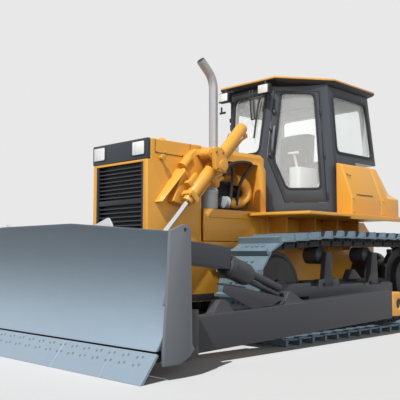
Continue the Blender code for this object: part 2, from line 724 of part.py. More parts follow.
def cab_ring(height, rear):
    """Plan of the cab's outside at a height, six corners."""
    joint = joint_at(height)
    front = front_at(height)
    half = [(DOOR_WALL.meets(front, height), front), (joint.x, joint.y), (SIDE_WALL.meets(rear, height), rear)]
    return half + [(-x, y) for x, y in reversed(half)]


def cab_shell(low, high, inset, floor, ceiling):
    """A block with the cab's outside, or moved in by the wall's thickness."""
    rings = []
    for height, rear in ((low, None), (high, None)):
        rear = CAB_LOWER_REAR if high <= CAB_WAIST + 0.05 else rear_at(height)
        rings.append((height, grown(cab_ring(height, rear), -inset)))
    (z0, ring0), (z1, ring1) = rings
    points = []
    for z in (floor, ceiling):
        t = (z - z0) / (z1 - z0)
        points.append([(a[0] + (b[0] - a[0]) * t, a[1] + (b[1] - a[1]) * t, z) for a, b in zip(ring0, ring1)])
    return loft(points)


def pane_y(outline, station_at, inner, outer):
    """A plate in the windshield or the rear window, whose wall leans by station_at."""
    return loft([[(x, station_at(z) + w, z) for x, z in outline] for w in (inner, outer)])


WINDSHIELD = [(-0.235, 2.66), (0.235, 2.66), (0.20, 1.99), (-0.20, 1.99)]
REAR_WINDOW = [(-0.60, 2.62), (0.60, 2.62), (0.62, 2.05), (-0.62, 2.05)]


def cab_frame():
    """The cab's walls, with the door openings and windows cut."""
    upper = cab_shell(CAB_WAIST, CAB_TOP, 0.0, CAB_WAIST, CAB_TOP)
    lower = cab_shell(CAB_FLOOR, CAB_WAIST, 0.0, CAB_FLOOR, CAB_WAIST + 0.002)
    room_up = cab_shell(CAB_WAIST, CAB_TOP, CAB_WALL, CAB_WAIST + CAB_WALL, CAB_TOP + 0.1)
    room_low = cab_shell(CAB_FLOOR, CAB_WAIST, CAB_WALL + 0.004, CAB_FLOOR - 0.1, CAB_WAIST + 0.08)
    body = cut(join(upper, lower), room_up, room_low)
    cutters = []
    for _, sign in SIDES:
        doorway = grown(DOOR_OUTLINE, RUNNING_GAP)
        cutters.append(mirrored(DOOR_WALL.plate(doorway, -0.12, 0.05), sign))
        window = rounded(SIDE_WINDOW, SIDE_WINDOW_RADIUS)
        cutters.append(mirrored(SIDE_WALL.plate(window, -0.12, 0.05), sign))
    cutters.append(pane_y(rounded(WINDSHIELD, 0.07), front_at, -0.1, 0.12))
    cutters.append(pane_y(rounded(REAR_WINDOW, 0.07), rear_at, -0.12, 0.1))
    return cut(body, *cutters)


def cab_roof():
    """The roof plate, which overhangs the walls all round."""
    half = [(0.42, 2.705), (0.80, 3.28), (0.76, 4.19)]
    outline = half + [(-x, y) for x, y in reversed(half)]
    skirt = grown(outline, -0.035)
    low = [(x, y, CAB_TOP + GAP) for x, y in skirt]
    rim = [(x, y, 2.805) for x, y in outline]
    edge = [(x, y, ROOF_TOP) for x, y in outline]
    crown = [(x, y, ROOF_TOP + 0.012) for x, y in grown(outline, -0.12)]
    return loft([low, rim, edge, crown])


def cab_door():
    """The left door, its window cut."""
    panel = DOOR_WALL.plate(DOOR_OUTLINE, -0.035, 0.0)
    window = DOOR_WALL.plate(rounded(DOOR_WINDOW, DOOR_WINDOW_RADIUS), -0.1, 0.1)
    handle = DOOR_WALL.plate([(0.675, 2.16), (0.695, 2.15), (0.705, 1.97), (0.685, 1.97)], -0.01, 0.035)
    return join(cut(panel, window), handle)


def door_hinge():
    """A point on the left door's hinge line, and the line's direction."""
    top, bottom = DOOR_WALL.point(0.10, 2.60, 0.002), DOOR_WALL.point(0.115, 1.45, 0.002)
    return bottom, (top - bottom).normalized()


def seat():
    """The operator's seat, cushion and back in one."""
    outline = [(3.16, 1.66), (3.62, 1.64), (3.70, 2.32), (3.59, 2.34), (3.53, 1.80), (3.16, 1.80)]
    return slab_x(rounded(outline, 0.03, 3), -0.25, 0.25)


def seat_base():
    """The pedestal under the seat."""
    return block(-0.20, 0.20, 3.22, 3.56, DECK_TOP + GAP, 1.62)


def side_console():
    """The left control console with its steering lever."""
    box = slab_z(rounded([(0.31, 3.05), (0.47, 3.05), (0.47, 3.42), (0.31, 3.42)], 0.05, 4), DECK_TOP + GAP, 1.84)
    stem = turned((0.39, 3.12, 1.83), (0.39, 3.06, 2.0), ((0, 0.016), (0.17, 0.014)), 10)
    grip = rod((0.32, 3.055, 2.0), (0.46, 3.055, 2.0), 0.016, 12)
    return join(box, stem, grip)


def dash():
    """The instrument panel behind the windshield."""
    return slab_x([(2.80, 1.29), (2.86, 1.29), (2.92, 1.86), (2.86, 1.92), (2.76, 1.90)], -0.16, 0.16)


# ---- assembly -----------------------------------------------------------------------------
def clear_scene():
    """Remove everything from the open file."""
    for item in list(bpy.data.objects):
        bpy.data.objects.remove(item)
    for mesh in list(bpy.data.meshes):
        bpy.data.meshes.remove(mesh)


def build_blade(datum):
    """Everything that rises with the blade."""
    pivot = (0.0, *LIFT_PIVOT)
    piece("moldboard", moldboard(), "blade_steel", datum, pivot)
    piece("cutting_edge", cutting_edge(), "blade_steel", datum, pivot)
    piece("blade_frame", blade_frame(), "dark_paint", datum, pivot)
    for side, sign in SIDES:
        piece(f"push_arm_{side}", mirrored(push_arm(), sign), "dark_paint", datum, pivot)
        piece(f"trunnion_cap_{side}", mirrored(trunnion_cap(), sign), "yellow_paint", datum, pivot)
        piece(f"tilt_brace_{side}", mirrored(tilt_brace(), sign), "dark_paint", datum, pivot)


def build_lift(datum):
    """The two lift cylinders and the yokes that carry them."""
    for side, sign in SIDES:
        centre = (sign * LIFT_X, *TRUNNION)
        eye = (sign * LIFT_X, *LIFT_EYE)
        piece(f"lift_yoke_{side}", mirrored(lift_yoke(), sign), "yellow_paint", datum)
        piece(f"lift_barrel_{side}", mirrored(lift_barrel(), sign), "yellow_paint", datum, centre)
        piece(f"lift_rod_{side}", mirrored(lift_rod(), sign), "chrome", datum, eye)


def build_undercarriage(datum):
    """Track frames with all that turns inside the tracks, and the tracks."""
    for side, sign in SIDES:
        piece(f"track_frame_{side}", mirrored(track_frame(), sign), "dark_paint", datum)
        piece(f"idler_{side}", mirrored(idler(), sign), "dark_paint", datum)
        piece(f"sprocket_{side}", mirrored(sprocket(), sign), "dark_paint", datum)
        piece(f"track_{side}", mirrored(track(), sign), "track_steel", datum)


def build_body(datum):
    """Hull, nose, engine bay, platform and boxes."""
    piece("hull", hull(), "yellow_paint", datum)
    piece("drawbar", drawbar(), "dark_paint", datum)
    piece("radiator_guard", radiator_guard(), "yellow_paint", datum)
    piece("grille", grille(), "black_plastic", datum)
    piece("header_panel", header_panel(), "cab_paint", datum)
    piece("hood", hood(), "yellow_paint", datum)
    piece("engine_block", block(-0.32, 0.20, 1.62, 2.34, 0.9753, 1.62), "dark_paint", datum)
    piece("fuel_filter", rod((0.31, 1.76, 1.30), (0.31, 1.76, 1.56), 0.095), "light_trim", datum)
    piece("turbo_duct", turbo_duct(), "yellow_paint", datum)
    piece("exhaust_pipe", exhaust_pipe(), "bright_steel", datum)
    piece("platform", platform(), "yellow_paint", datum)
    piece("fuel_tank", fuel_tank(), "yellow_paint", datum)
    for side, sign in SIDES:
        piece(f"engine_side_panel_{side}", mirrored(engine_side_panel(), sign), "yellow_paint", datum)
        piece(f"side_box_{side}", mirrored(tool_box(), sign), "yellow_paint", datum)


def build_cab(datum):
    """The hollow cab, its glass, its doors and what stands inside."""
    middle = -CAB_WALL / 2
    piece("cab_frame", cab_frame(), "cab_paint", datum)
    piece("cab_roof", cab_roof(), "yellow_paint", datum)
    inset = -0.0006
    windshield = grown(rounded(WINDSHIELD, 0.07), inset)
    rear_window = grown(rounded(REAR_WINDOW, 0.07), inset)
    piece("windshield", pane_y(windshield, front_at, -middle, -middle + GLASS), "glass", datum)
    piece("rear_window", pane_y(rear_window, rear_at, middle - GLASS, middle), "glass", datum)
    bottom, _ = door_hinge()
    for side, sign in SIDES:
        hinge = (sign * bottom.x, bottom.y, bottom.z)
        pane = grown(rounded(SIDE_WINDOW, SIDE_WINDOW_RADIUS), inset)
        side_glass = SIDE_WALL.plate(pane, middle - GLASS, middle)
        piece(f"side_window_{side}", mirrored(side_glass, sign), "glass", datum)
        piece(f"cab_door_{side}", mirrored(cab_door(), sign), "cab_paint", datum, hinge)
        pane = grown(rounded(DOOR_WINDOW, DOOR_WINDOW_RADIUS), inset)
        door_glass = DOOR_WALL.plate(pane, -0.018 - GLASS, -0.018)
        piece(f"door_glass_{side}", mirrored(door_glass, sign), "glass", datum, hinge)
    piece("seat", seat(), "seat_cover", datum)
    piece("seat_base", seat_base(), "black_plastic", datum)
    piece("side_console", side_console(), "light_trim", datum)
    piece("dash", dash(), "light_trim", datum)


def main():
    """Model the whole machine."""
    clear_scene()
    datum = bpy.data.objects.new("datum", None)
    bpy.context.scene.collection.objects.link(datum)
    datum.location = (0.0, -MID_STATION, 0.0)
    build_blade(datum)
    build_lift(datum)
    build_undercarriage(datum)
    build_body(datum)
    build_cab(datum)
    bpy.context.view_layer.update()


main()
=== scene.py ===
"""Looks of a track-type bulldozer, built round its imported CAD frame.

Metres, +Z up. The machine faces -Y and its left side is +X. Shapes are drawn in stations, which are
measured back from the top edge of the blade, and moved into the frame as their mesh is made.
"""

from __future__ import annotations

import logging
import math
from dataclasses import dataclass, field
from enum import Enum
from typing import Iterable, Sequence

import bmesh
import bpy
from mathutils import Matrix, Vector


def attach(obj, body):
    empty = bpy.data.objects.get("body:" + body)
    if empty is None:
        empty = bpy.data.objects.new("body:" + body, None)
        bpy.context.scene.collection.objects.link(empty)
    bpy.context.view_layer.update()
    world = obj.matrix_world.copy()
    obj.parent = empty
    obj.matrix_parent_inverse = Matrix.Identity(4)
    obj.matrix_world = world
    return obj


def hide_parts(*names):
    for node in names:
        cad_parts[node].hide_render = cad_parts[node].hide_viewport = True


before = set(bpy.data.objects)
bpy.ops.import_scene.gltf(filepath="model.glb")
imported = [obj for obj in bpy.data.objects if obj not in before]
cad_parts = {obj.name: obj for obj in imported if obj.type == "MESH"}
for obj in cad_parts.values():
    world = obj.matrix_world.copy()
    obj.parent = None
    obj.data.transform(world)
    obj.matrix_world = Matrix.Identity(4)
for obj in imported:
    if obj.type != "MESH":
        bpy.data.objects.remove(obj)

logging.basicConfig(level=logging.INFO, format="%(message)s")
LOG = logging.getLogger("bulldozer")

Point = Sequence[float]
Outline = Sequence[Sequence[float]]
Colour = tuple[float, float, float]

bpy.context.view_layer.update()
MID_STATION = 2.31          # station of the frame's origin
SMOOTH_BELOW = math.radians(35)


class Side(Enum):
    """The two sides of the machine, with the sign of their X."""

    LEFT = 1.0
    RIGHT = -1.0

    @property
    def word(self) -> str:
        """The side's name as the CAD nodes spell it."""
        return self.name.lower()


class Body(Enum):
    """CAD bodies that pieces ride on."""

    CHASSIS = "chassis"
    BLADE = "blade"


# ---- shader groups ------------------------------------------------------------------------
class Graph:
    """A short way to lay nodes into a tree."""

    def __init__(self, tree: bpy.types.NodeTree) -> None:
        """Start on a tree.

        Args:
            tree: The node tree that gets the nodes.
        """
        self.tree = tree

    def add(self, kind: str, inputs: dict | None = None, **settings: object) -> bpy.types.Node:
        """Add a node and fill its inputs.

        Args:
            kind: The node's type name.
            inputs: Values or sockets by input name or number.
            **settings: Properties of the node itself.

        Returns:
            The new node.
        """
        node = self.tree.nodes.new(kind)
        for name, value in settings.items():
            setattr(node, name, value)
        for key, value in (inputs or {}).items():
            socket = node.inputs[key]
            if isinstance(value, bpy.types.NodeSocket):
                self.tree.links.new(value, socket)
            else:
                socket.default_value = value
        return node

    def math(self, operation: str, a: object, b: object = 0.0, clamp: bool = False) -> bpy.types.NodeSocket:
        """A math node's value."""
        return self.add("ShaderNodeMath", {0: a, 1: b}, operation=operation, use_clamp=clamp).outputs[0]

    def mix(self, factor: object, a: object, b: object) -> bpy.types.NodeSocket:
        """Colour a turned to colour b by a factor."""
        node = self.add("ShaderNodeMix", {0: factor, 6: a, 7: b}, data_type="RGBA")
        return node.outputs[2]

    def mix_value(self, factor: object, a: object, b: object) -> bpy.types.NodeSocket:
        """A number between two others."""
        return self.math("ADD", self.math("MULTIPLY", factor, b), self.math("MULTIPLY", self.math("SUBTRACT", 1.0, factor), a))

    def noise(self, vector: object, scale: float | bpy.types.NodeSocket, detail: float = 3.0) -> bpy.types.NodeSocket:
        """A noise value on a vector."""
        node = self.add("ShaderNodeTexNoise", {"Vector": vector, "Scale": scale, "Detail": detail})
        return node.outputs["Fac"]

    def step(self, value: object, low: float, high: float) -> bpy.types.NodeSocket:
        """A value spread from 0 at low to 1 at high, smooth at both ends."""
        node = self.add(
            "ShaderNodeMapRange",
            {"Value": value, "From Min": low, "From Max": high},
            interpolation_type="SMOOTHSTEP",
        )
        return node.outputs["Result"]


def new_group(name: str, inputs: Sequence[tuple[str, str, object]], outputs: Sequence[tuple[str, str]]):
    """An empty shader group with its sockets.

    Args:
        name: The group's name.
        inputs: Name, socket kind and default of each input.
        outputs: Name and socket kind of each output.

    Returns:
        The tree, its Graph, the group input node and the group output node.
    """
    tree = bpy.data.node_groups.new(name, "ShaderNodeTree")
    for label, kind, default in inputs:
        socket = tree.interface.new_socket(label, in_out="INPUT", socket_type=f"NodeSocket{kind}")
        socket.default_value = default
    for label, kind in outputs:
        tree.interface.new_socket(label, in_out="OUTPUT", socket_type=f"NodeSocket{kind}")
    graph = Graph(tree)
    return tree, graph, graph.add("NodeGroupInput"), graph.add("NodeGroupOutput")


def coat_group() -> bpy.types.NodeTree:
    """Paint as it lies on steel: slow tone changes, orange peel and a film of dust low down."""
    tree, g, given, out = new_group(
        "paint_coat",
        [("Colour", "Color", (0.5, 0.5, 0.5, 1)), ("Dust Colour", "Color", (0.3, 0.27, 0.23, 1)),
         ("Tone", "Float", 0.06), ("Dust", "Float", 0.1), ("Roughness", "Float", 0.4)],
        [("Colour", "Color"), ("Roughness", "Float"), ("Height", "Float")],
    )
    place = g.add("ShaderNodeTexCoord").outputs["Object"]
    slow, fine = g.noise(place, 1.7, 2.0), g.noise(place, 38.0, 4.0)
    peel = g.noise(place, 420.0, 1.0)
    shade = g.math("MULTIPLY", g.math("SUBTRACT", slow, 0.5), given.outputs["Tone"])
    shade = g.math("ADD", shade, 1.0)
    toned = g.add("ShaderNodeVectorMath", {0: given.outputs["Colour"], "Scale": shade}, operation="SCALE")
    low = g.add("ShaderNodeSeparateXYZ", {0: place}).outputs[2]
    near_ground = g.math("SUBTRACT", 1.0, g.step(low, 0.1, 1.3))
    film = g.math("MULTIPLY", g.math("ADD", g.math("MULTIPLY", near_ground, 0.8), 0.2), g.step(fine, 0.35, 0.75))
    film = g.math("MULTIPLY", film, given.outputs["Dust"], clamp=True)
    colour = g.mix(film, toned.outputs[0], given.outputs["Dust Colour"])
    rough = g.math("ADD", given.outputs["Roughness"], g.math("MULTIPLY", g.math("SUBTRACT", fine, 0.5), 0.12))
    rough = g.math("ADD", rough, g.math("MULTIPLY", film, 0.5), clamp=True)
    g.tree.links.new(colour, out.inputs["Colour"])
    g.tree.links.new(rough, out.inputs["Roughness"])
    g.tree.links.new(peel, out.inputs["Height"])
    return tree


def grain_group() -> bpy.types.NodeTree:
    """Rolled or brushed steel: fine streaks along one axis over slow patches."""
    tree, g, given, out = new_group(
        "steel_grain",
        [("Colour", "Color", (0.5, 0.5, 0.5, 1)), ("Worn Colour", "Color", (0.7, 0.7, 0.7, 1)),
         ("Stretch", "Vector", (1, 1, 1)), ("Amount", "Float", 0.1), ("Wear", "Float", 0.1),
         ("Roughness", "Float", 0.35)],
        [("Colour", "Color"), ("Roughness", "Float"), ("Height", "Float")],
    )
    place = g.add("ShaderNodeTexCoord").outputs["Object"]
    drawn = g.add("ShaderNodeVectorMath", {0: place, 1: given.outputs["Stretch"]}, operation="MULTIPLY").outputs[0]
    streak, patch = g.noise(drawn, 60.0, 3.0), g.noise(place, 3.1, 3.0)
    shade = g.math("MULTIPLY", g.math("SUBTRACT", streak, 0.5), given.outputs["Amount"])
    shade = g.math("ADD", shade, g.math("MULTIPLY", g.math("SUBTRACT", patch, 0.5), given.outputs["Amount"]))
    toned = g.add(
        "ShaderNodeVectorMath",
        {0: given.outputs["Colour"], "Scale": g.math("ADD", shade, 1.0)},
        operation="SCALE",
    )
    worn = g.math("MULTIPLY", g.step(g.noise(place, 9.0, 5.0), 0.52, 0.72), given.outputs["Wear"], clamp=True)
    colour = g.mix(worn, toned.outputs[0], given.outputs["Worn Colour"])
    rough = g.math("ADD", given.outputs["Roughness"], g.math("MULTIPLY", g.math("SUBTRACT", streak, 0.5), 0.25))
    g.tree.links.new(colour, out.inputs["Colour"])
    g.tree.links.new(rough, out.inputs["Roughness"])
    g.tree.links.new(streak, out.inputs["Height"])
    return tree


def cloth_group() -> bpy.types.NodeTree:
    """A woven cloth or grained plastic: two crossed threads and a soft mottle."""
    tree, g, given, out = new_group(
        "weave",
        [("Colour", "Color", (0.1, 0.1, 0.1, 1)), ("Scale", "Float", 900.0), ("Depth", "Float", 0.35)],
        [("Colour", "Color"), ("Height", "Float")],
    )
    place = g.add("ShaderNodeTexCoord").outputs["Object"]
    parts = g.add("ShaderNodeSeparateXYZ", {0: place})
    warp = g.math("SINE", g.math("MULTIPLY", parts.outputs[0], given.outputs["Scale"]))
    weft = g.math("SINE", g.math("MULTIPLY", g.math("ADD", parts.outputs[1], parts.outputs[2]), given.outputs["Scale"]))
    height = g.math("MULTIPLY", g.math("ADD", g.math("MULTIPLY", warp, weft), 1.0), 0.5)
    shade = g.math("ADD", g.math("MULTIPLY", g.math("SUBTRACT", height, 0.5), given.outputs["Depth"]), 1.0)
    mottle = g.math("ADD", g.math("MULTIPLY", g.noise(place, 14.0, 3.0), 0.3), 0.85)
    toned = g.add(
        "ShaderNodeVectorMath",
        {0: given.outputs["Colour"], "Scale": g.math("MULTIPLY", shade, mottle)},
        operation="SCALE",
    )
    g.tree.links.new(toned.outputs[0], out.inputs["Colour"])
    g.tree.links.new(height, out.inputs["Height"])
    return tree


def shared(name: str, maker) -> bpy.types.NodeTree:
    """A shader group, built the first time it is asked for."""
    return bpy.data.node_groups.get(name) or maker()


@dataclass(frozen=True)
class Finish:
    """One finish of the machine and the record slot it belongs to."""

    name: str
    slot: str
    colour: Colour
    roughness: float = 0.4
    metallic: float = 0.0

    def start(self) -> tuple[bpy.types.Material, Graph, bpy.types.Node]:
        """A new material with its Principled shader.

        Returns:
            The material, a Graph on its tree and the shader node.
        """
        material = bpy.data.materials.new(self.name)
        material.use_nodes = True
        shader = material.node_tree.nodes["Principled BSDF"]
        shader.inputs["Roughness"].default_value = self.roughness
        shader.inputs["Metallic"].default_value = self.metallic
        shader.inputs["Base Color"].default_value = (*self.colour, 1)
        return material, Graph(material.node_tree), shader

    def bump(self, g: Graph, shader: bpy.types.Node, height: bpy.types.NodeSocket, depth: float, strength: float) -> None:
        """Feed a height into the shader's normal."""
        node = g.add("ShaderNodeBump", {"Height": height, "Distance": depth, "Strength": strength})
        g.tree.links.new(node.outputs["Normal"], shader.inputs["Normal"])

    def material(self) -> bpy.types.Material:
        """The finish's material, made once."""
        return bpy.data.materials.get(self.name) or self.make()

    def make(self) -> bpy.types.Material:
        """Build the material; a plain finish has fine grain only."""
        material, g, shader = self.start()
        place = g.add("ShaderNodeTexCoord").outputs["Object"]
        grain = g.noise(place, 260.0, 2.0)
        tone = g.math("ADD", g.math("MULTIPLY", g.noise(place, 11.0), 0.25), 0.875)
        toned = g.add("ShaderNodeVectorMath", {0: (*self.colour,), "Scale": tone}, operation="SCALE")
        g.tree.links.new(toned.outputs[0], shader.inputs["Base Color"])
        self.bump(g, shader, grain, 0.0004, 0.3)
        return material


@dataclass(frozen=True)
class Paint(Finish):
    """Enamel on steel."""

    tone: float = 0.06
    dust: float = 0.10
    gloss_coat: float = 0.25
    specular: float = 0.3

    def make(self) -> bpy.types.Material:
        """Enamel with a thin clear coat, a little dust and orange peel."""
        material, g, shader = self.start()
        coat = g.add("ShaderNodeGroup", node_tree=shared("paint_coat", coat_group))
        for label, value in (("Colour", (*self.colour, 1)), ("Tone", self.tone), ("Dust", self.dust),
                             ("Roughness", self.roughness)):
            coat.inputs[label].default_value = value
        g.tree.links.new(coat.outputs["Colour"], shader.inputs["Base Color"])
        g.tree.links.new(coat.outputs["Roughness"], shader.inputs["Roughness"])
        shader.inputs["Coat Weight"].default_value = self.gloss_coat
        shader.inputs["Coat Roughness"].default_value = 0.12
        shader.inputs["Specular IOR Level"].default_value = self.specular
        self.bump(g, shader, coat.outputs["Height"], 0.0003, 0.12)
        return material


def cab_walls(inset: float = 0.022) -> list[tuple[Vector, float]]:
    """Planes of the cab's left, front and rear walls: each an outward normal and its reach less the inset."""
    rows = (((0.74, 3.24, 2.72), (0.81, 3.31, 1.35), (0.31, 2.77, 2.75)),
            ((0.74, 3.24, 2.72), (0.81, 3.31, 1.35), (0.71, 4.105, 2.76)),
            ((0.0, 2.66, 1.92), (1.0, 2.66, 1.92), (0.0, 2.77, 2.75)),
            ((0.0, 4.20, 1.924), (1.0, 4.20, 1.924), (0.0, 4.105, 2.76)))
    middle = Vector((0.0, 3.40 - MID_STATION, 2.2))
    planes = []
    for row in rows:
        a, b, c = (Vector((x, s - MID_STATION, z)) for x, s, z in row)
        normal = (b - a).cross(c - a).normalized()
        if normal.dot(a - middle) < 0:
            normal.negate()
        planes.append((normal, normal.dot(a) - inset))
    return planes


@dataclass(frozen=True)
class Lined(Paint):
    """The cab's enamel, with a pale lining on the faces that look into the cab."""

    lining: float = 0.62

    def make(self) -> bpy.types.Material:
        """Paint outside, lining inside."""
        material = super().make()
        g = Graph(material.node_tree)
        shader = material.node_tree.nodes["Principled BSDF"]
        way = g.add("ShaderNodeSeparateXYZ", {0: g.add("ShaderNodeTexCoord").outputs["Object"]}).outputs
        place = g.add("ShaderNodeCombineXYZ", {0: g.math("ABSOLUTE", way[0]), 1: way[1], 2: way[2]}).outputs[0]
        inside = g.math("GREATER_THAN", way[2], 1.30)
        for normal, reach in cab_walls():
            out = g.add("ShaderNodeVectorMath", {0: place, 1: normal}, operation="DOT_PRODUCT").outputs["Value"]
            inside = g.math("MULTIPLY", inside, g.math("LESS_THAN", out, reach))
        old = shader.inputs["Base Color"].links[0].from_socket
        g.tree.links.new(g.mix(inside, old, (self.lining, self.lining, self.lining, 1)), shader.inputs["Base Color"])
        return material


@dataclass(frozen=True)
class Steel(Finish):
    """Bare steel with a grain along one axis, and painted shade that can darken it towards the top."""

    stretch: Colour = (1.0, 1.0, 1.0)
    amount: float = 0.2
    wear: float = 0.1
    worn: Colour = (0.6, 0.6, 0.6)
    depth: float = 0.0004
    # Painted shade: the height where darkening starts, the height where it is full, and the share of colour it takes
    # off.
    fade: tuple[float, float, float] = (0.0, 1.0, 0.0)

    def make(self) -> bpy.types.Material:
        """Streaked steel with brighter worn patches, darkened with height by painted shade."""
        material, g, shader = self.start()
        grain = g.add("ShaderNodeGroup", node_tree=shared("steel_grain", grain_group))
        for label, value in (("Colour", (*self.colour, 1)), ("Worn Colour", (*self.worn, 1)),
                             ("Stretch", self.stretch), ("Amount", self.amount), ("Wear", self.wear),
                             ("Roughness", self.roughness)):
            grain.inputs[label].default_value = value
        # Painted shade: the colour is scaled down with height between the two given heights.
        low, high, shade_depth = self.fade
        height = g.add("ShaderNodeSeparateXYZ", {0: g.add("ShaderNodeTexCoord").outputs["Object"]}).outputs[2]
        shade_scale = g.math("SUBTRACT", 1.0, g.math("MULTIPLY", g.step(height, low, high), shade_depth))
        top_shaded = g.add("ShaderNodeVectorMath", {0: grain.outputs["Colour"], "Scale": shade_scale}, operation="SCALE")
        g.tree.links.new(top_shaded.outputs[0], shader.inputs["Base Color"])
        g.tree.links.new(grain.outputs["Roughness"], shader.inputs["Roughness"])
        self.bump(g, shader, grain.outputs["Height"], self.depth, 0.25)
        return material


@dataclass(frozen=True)
class Cloth(Finish):
    """Woven seat cloth."""

    def make(self) -> bpy.types.Material:
        """Cloth with a visible weave and a soft sheen."""
        material, g, shader = self.start()
        weave = g.add("ShaderNodeGroup", node_tree=shared("weave", cloth_group))
        weave.inputs["Colour"].default_value = (*self.colour, 1)
        g.tree.links.new(weave.outputs["Colour"], shader.inputs["Base Color"])
        shader.inputs["Sheen Weight"].default_value = 0.3
        self.bump(g, shader, weave.outputs["Height"], 0.001, 0.5)
        return material


@dataclass(frozen=True)
class Glazing(Finish):
    """Clear safety glass."""

    def make(self) -> bpy.types.Material:
        """Thin clear glass that lets light through and mirrors at a slant."""
        material, g, shader = self.start()
        shader.inputs["Transmission Weight"].default_value = 0.86
        shader.inputs["IOR"].default_value = 1.45
        place = g.add("ShaderNodeTexCoord").outputs["Object"]
        film = g.math("ADD", g.math("MULTIPLY", g.step(g.noise(place, 6.0), 0.4, 0.8), 0.02), self.roughness, clamp=True)
        g.tree.links.new(film, shader.inputs["Roughness"])
        see = g.add("ShaderNodeBsdfTransparent", {0: (0.94, 0.965, 0.96, 1)})
        seen = g.add("ShaderNodeLightPath")
        through = g.math("MAXIMUM", seen.outputs["Is Shadow Ray"], seen.outputs["Is Diffuse Ray"])
        mixed = g.add("ShaderNodeMixShader", {0: through, 1: shader.outputs[0], 2: see.outputs[0]})
        surface = g.tree.nodes["Material Output"].inputs["Surface"]
        g.tree.links.new(mixed.outputs[0], surface)
        return material


YELLOW = Paint("yellow_enamel", "yellow_paint", (0.74, 0.355, 0.047), 0.38, tone=0.06, dust=0.03, specular=0.4)
HULL_BLACK = Paint("belly_black", "dark_paint", (0.012, 0.012, 0.013), 0.6, dust=0.1)
DARK = Paint("dark_enamel", "dark_paint", (0.046, 0.047, 0.056), 0.5, dust=0.03, gloss_coat=0.05)
# Painted shade: the idler and sprocket take an enamel darker than the frame's, standing in for the shade that the track
# above casts on them.
SHADED_GEAR = Paint("oily_dark_enamel", "dark_paint", (0.014, 0.014, 0.016), 0.5, dust=0.06, gloss_coat=0.1)
CAB = Lined("cab_enamel", "cab_paint", (0.038, 0.044, 0.055), 0.42, dust=0.02, gloss_coat=0.1)
PLATE = Paint("end_plate_enamel", "dark_paint", (0.155, 0.170, 0.19), 0.45, dust=0.05, gloss_coat=0.1)
# Painted shade: the blade steel is darkened by half from 0.20 m to 0.95 m up, standing in for the shade on the
# moldboard's upper, down-facing curve.
BLADE = Steel("blade_plate", "blade_steel", (0.245, 0.315, 0.38), 0.42, 0.08, stretch=(0.05, 1, 1), amount=0.05,
              wear=0.03, worn=(0.50, 0.56, 0.62), fade=(0.20, 0.95, 0.50))
TRACK = Steel("track_plate", "track_steel", (0.15, 0.215, 0.26), 0.5, 0.2, amount=0.2, wear=0.2,
              worn=(0.32, 0.42, 0.48))
CHAIN = Steel("chain_steel", "track_steel", (0.010, 0.010, 0.012), 0.55, 0.3, amount=0.5, wear=0.1,
              worn=(0.05, 0.05, 0.05))
GRILLE = Paint("grille_enamel", "cab_paint", (0.022, 0.024, 0.030), 0.45, dust=0.02, gloss_coat=0.1)
BLACK = Finish("black_trim", "black_plastic", (0.008, 0.008, 0.009), 0.5)
RUBBER = Finish("black_rubber", "black_plastic", (0.010, 0.010, 0.011), 0.6)
CHROME = Steel("hard_chrome", "chrome", (0.86, 0.87, 0.89), 0.12, 1.0, amount=0.03, wear=0.0, depth=0.0001)
BRIGHT = Steel("bright_tube", "bright_steel", (0.40, 0.41, 0.44), 0.45, 0.35, stretch=(1, 1, 0.04), amount=0.04,
               depth=0.0001)
GLASS = Glazing("clear_glass", "glass", (0.97, 0.99, 0.985), 0.0)
SEAT = Cloth("seat_cloth", "seat_cover", (0.10, 0.10, 0.11), 0.9)
TRIM = Finish("light_trim", "light_trim", (0.62, 0.63, 0.62), 0.6)
CAST = Steel("cast_housing", "light_trim", (0.42, 0.45, 0.47), 0.5, 0.3, amount=0.3, depth=0.001)
LENS = Steel("lamp_lens", "glass", (0.80, 0.82, 0.80), 0.22, 0.0, stretch=(1, 1, 0.1), amount=0.5, depth=0.002)


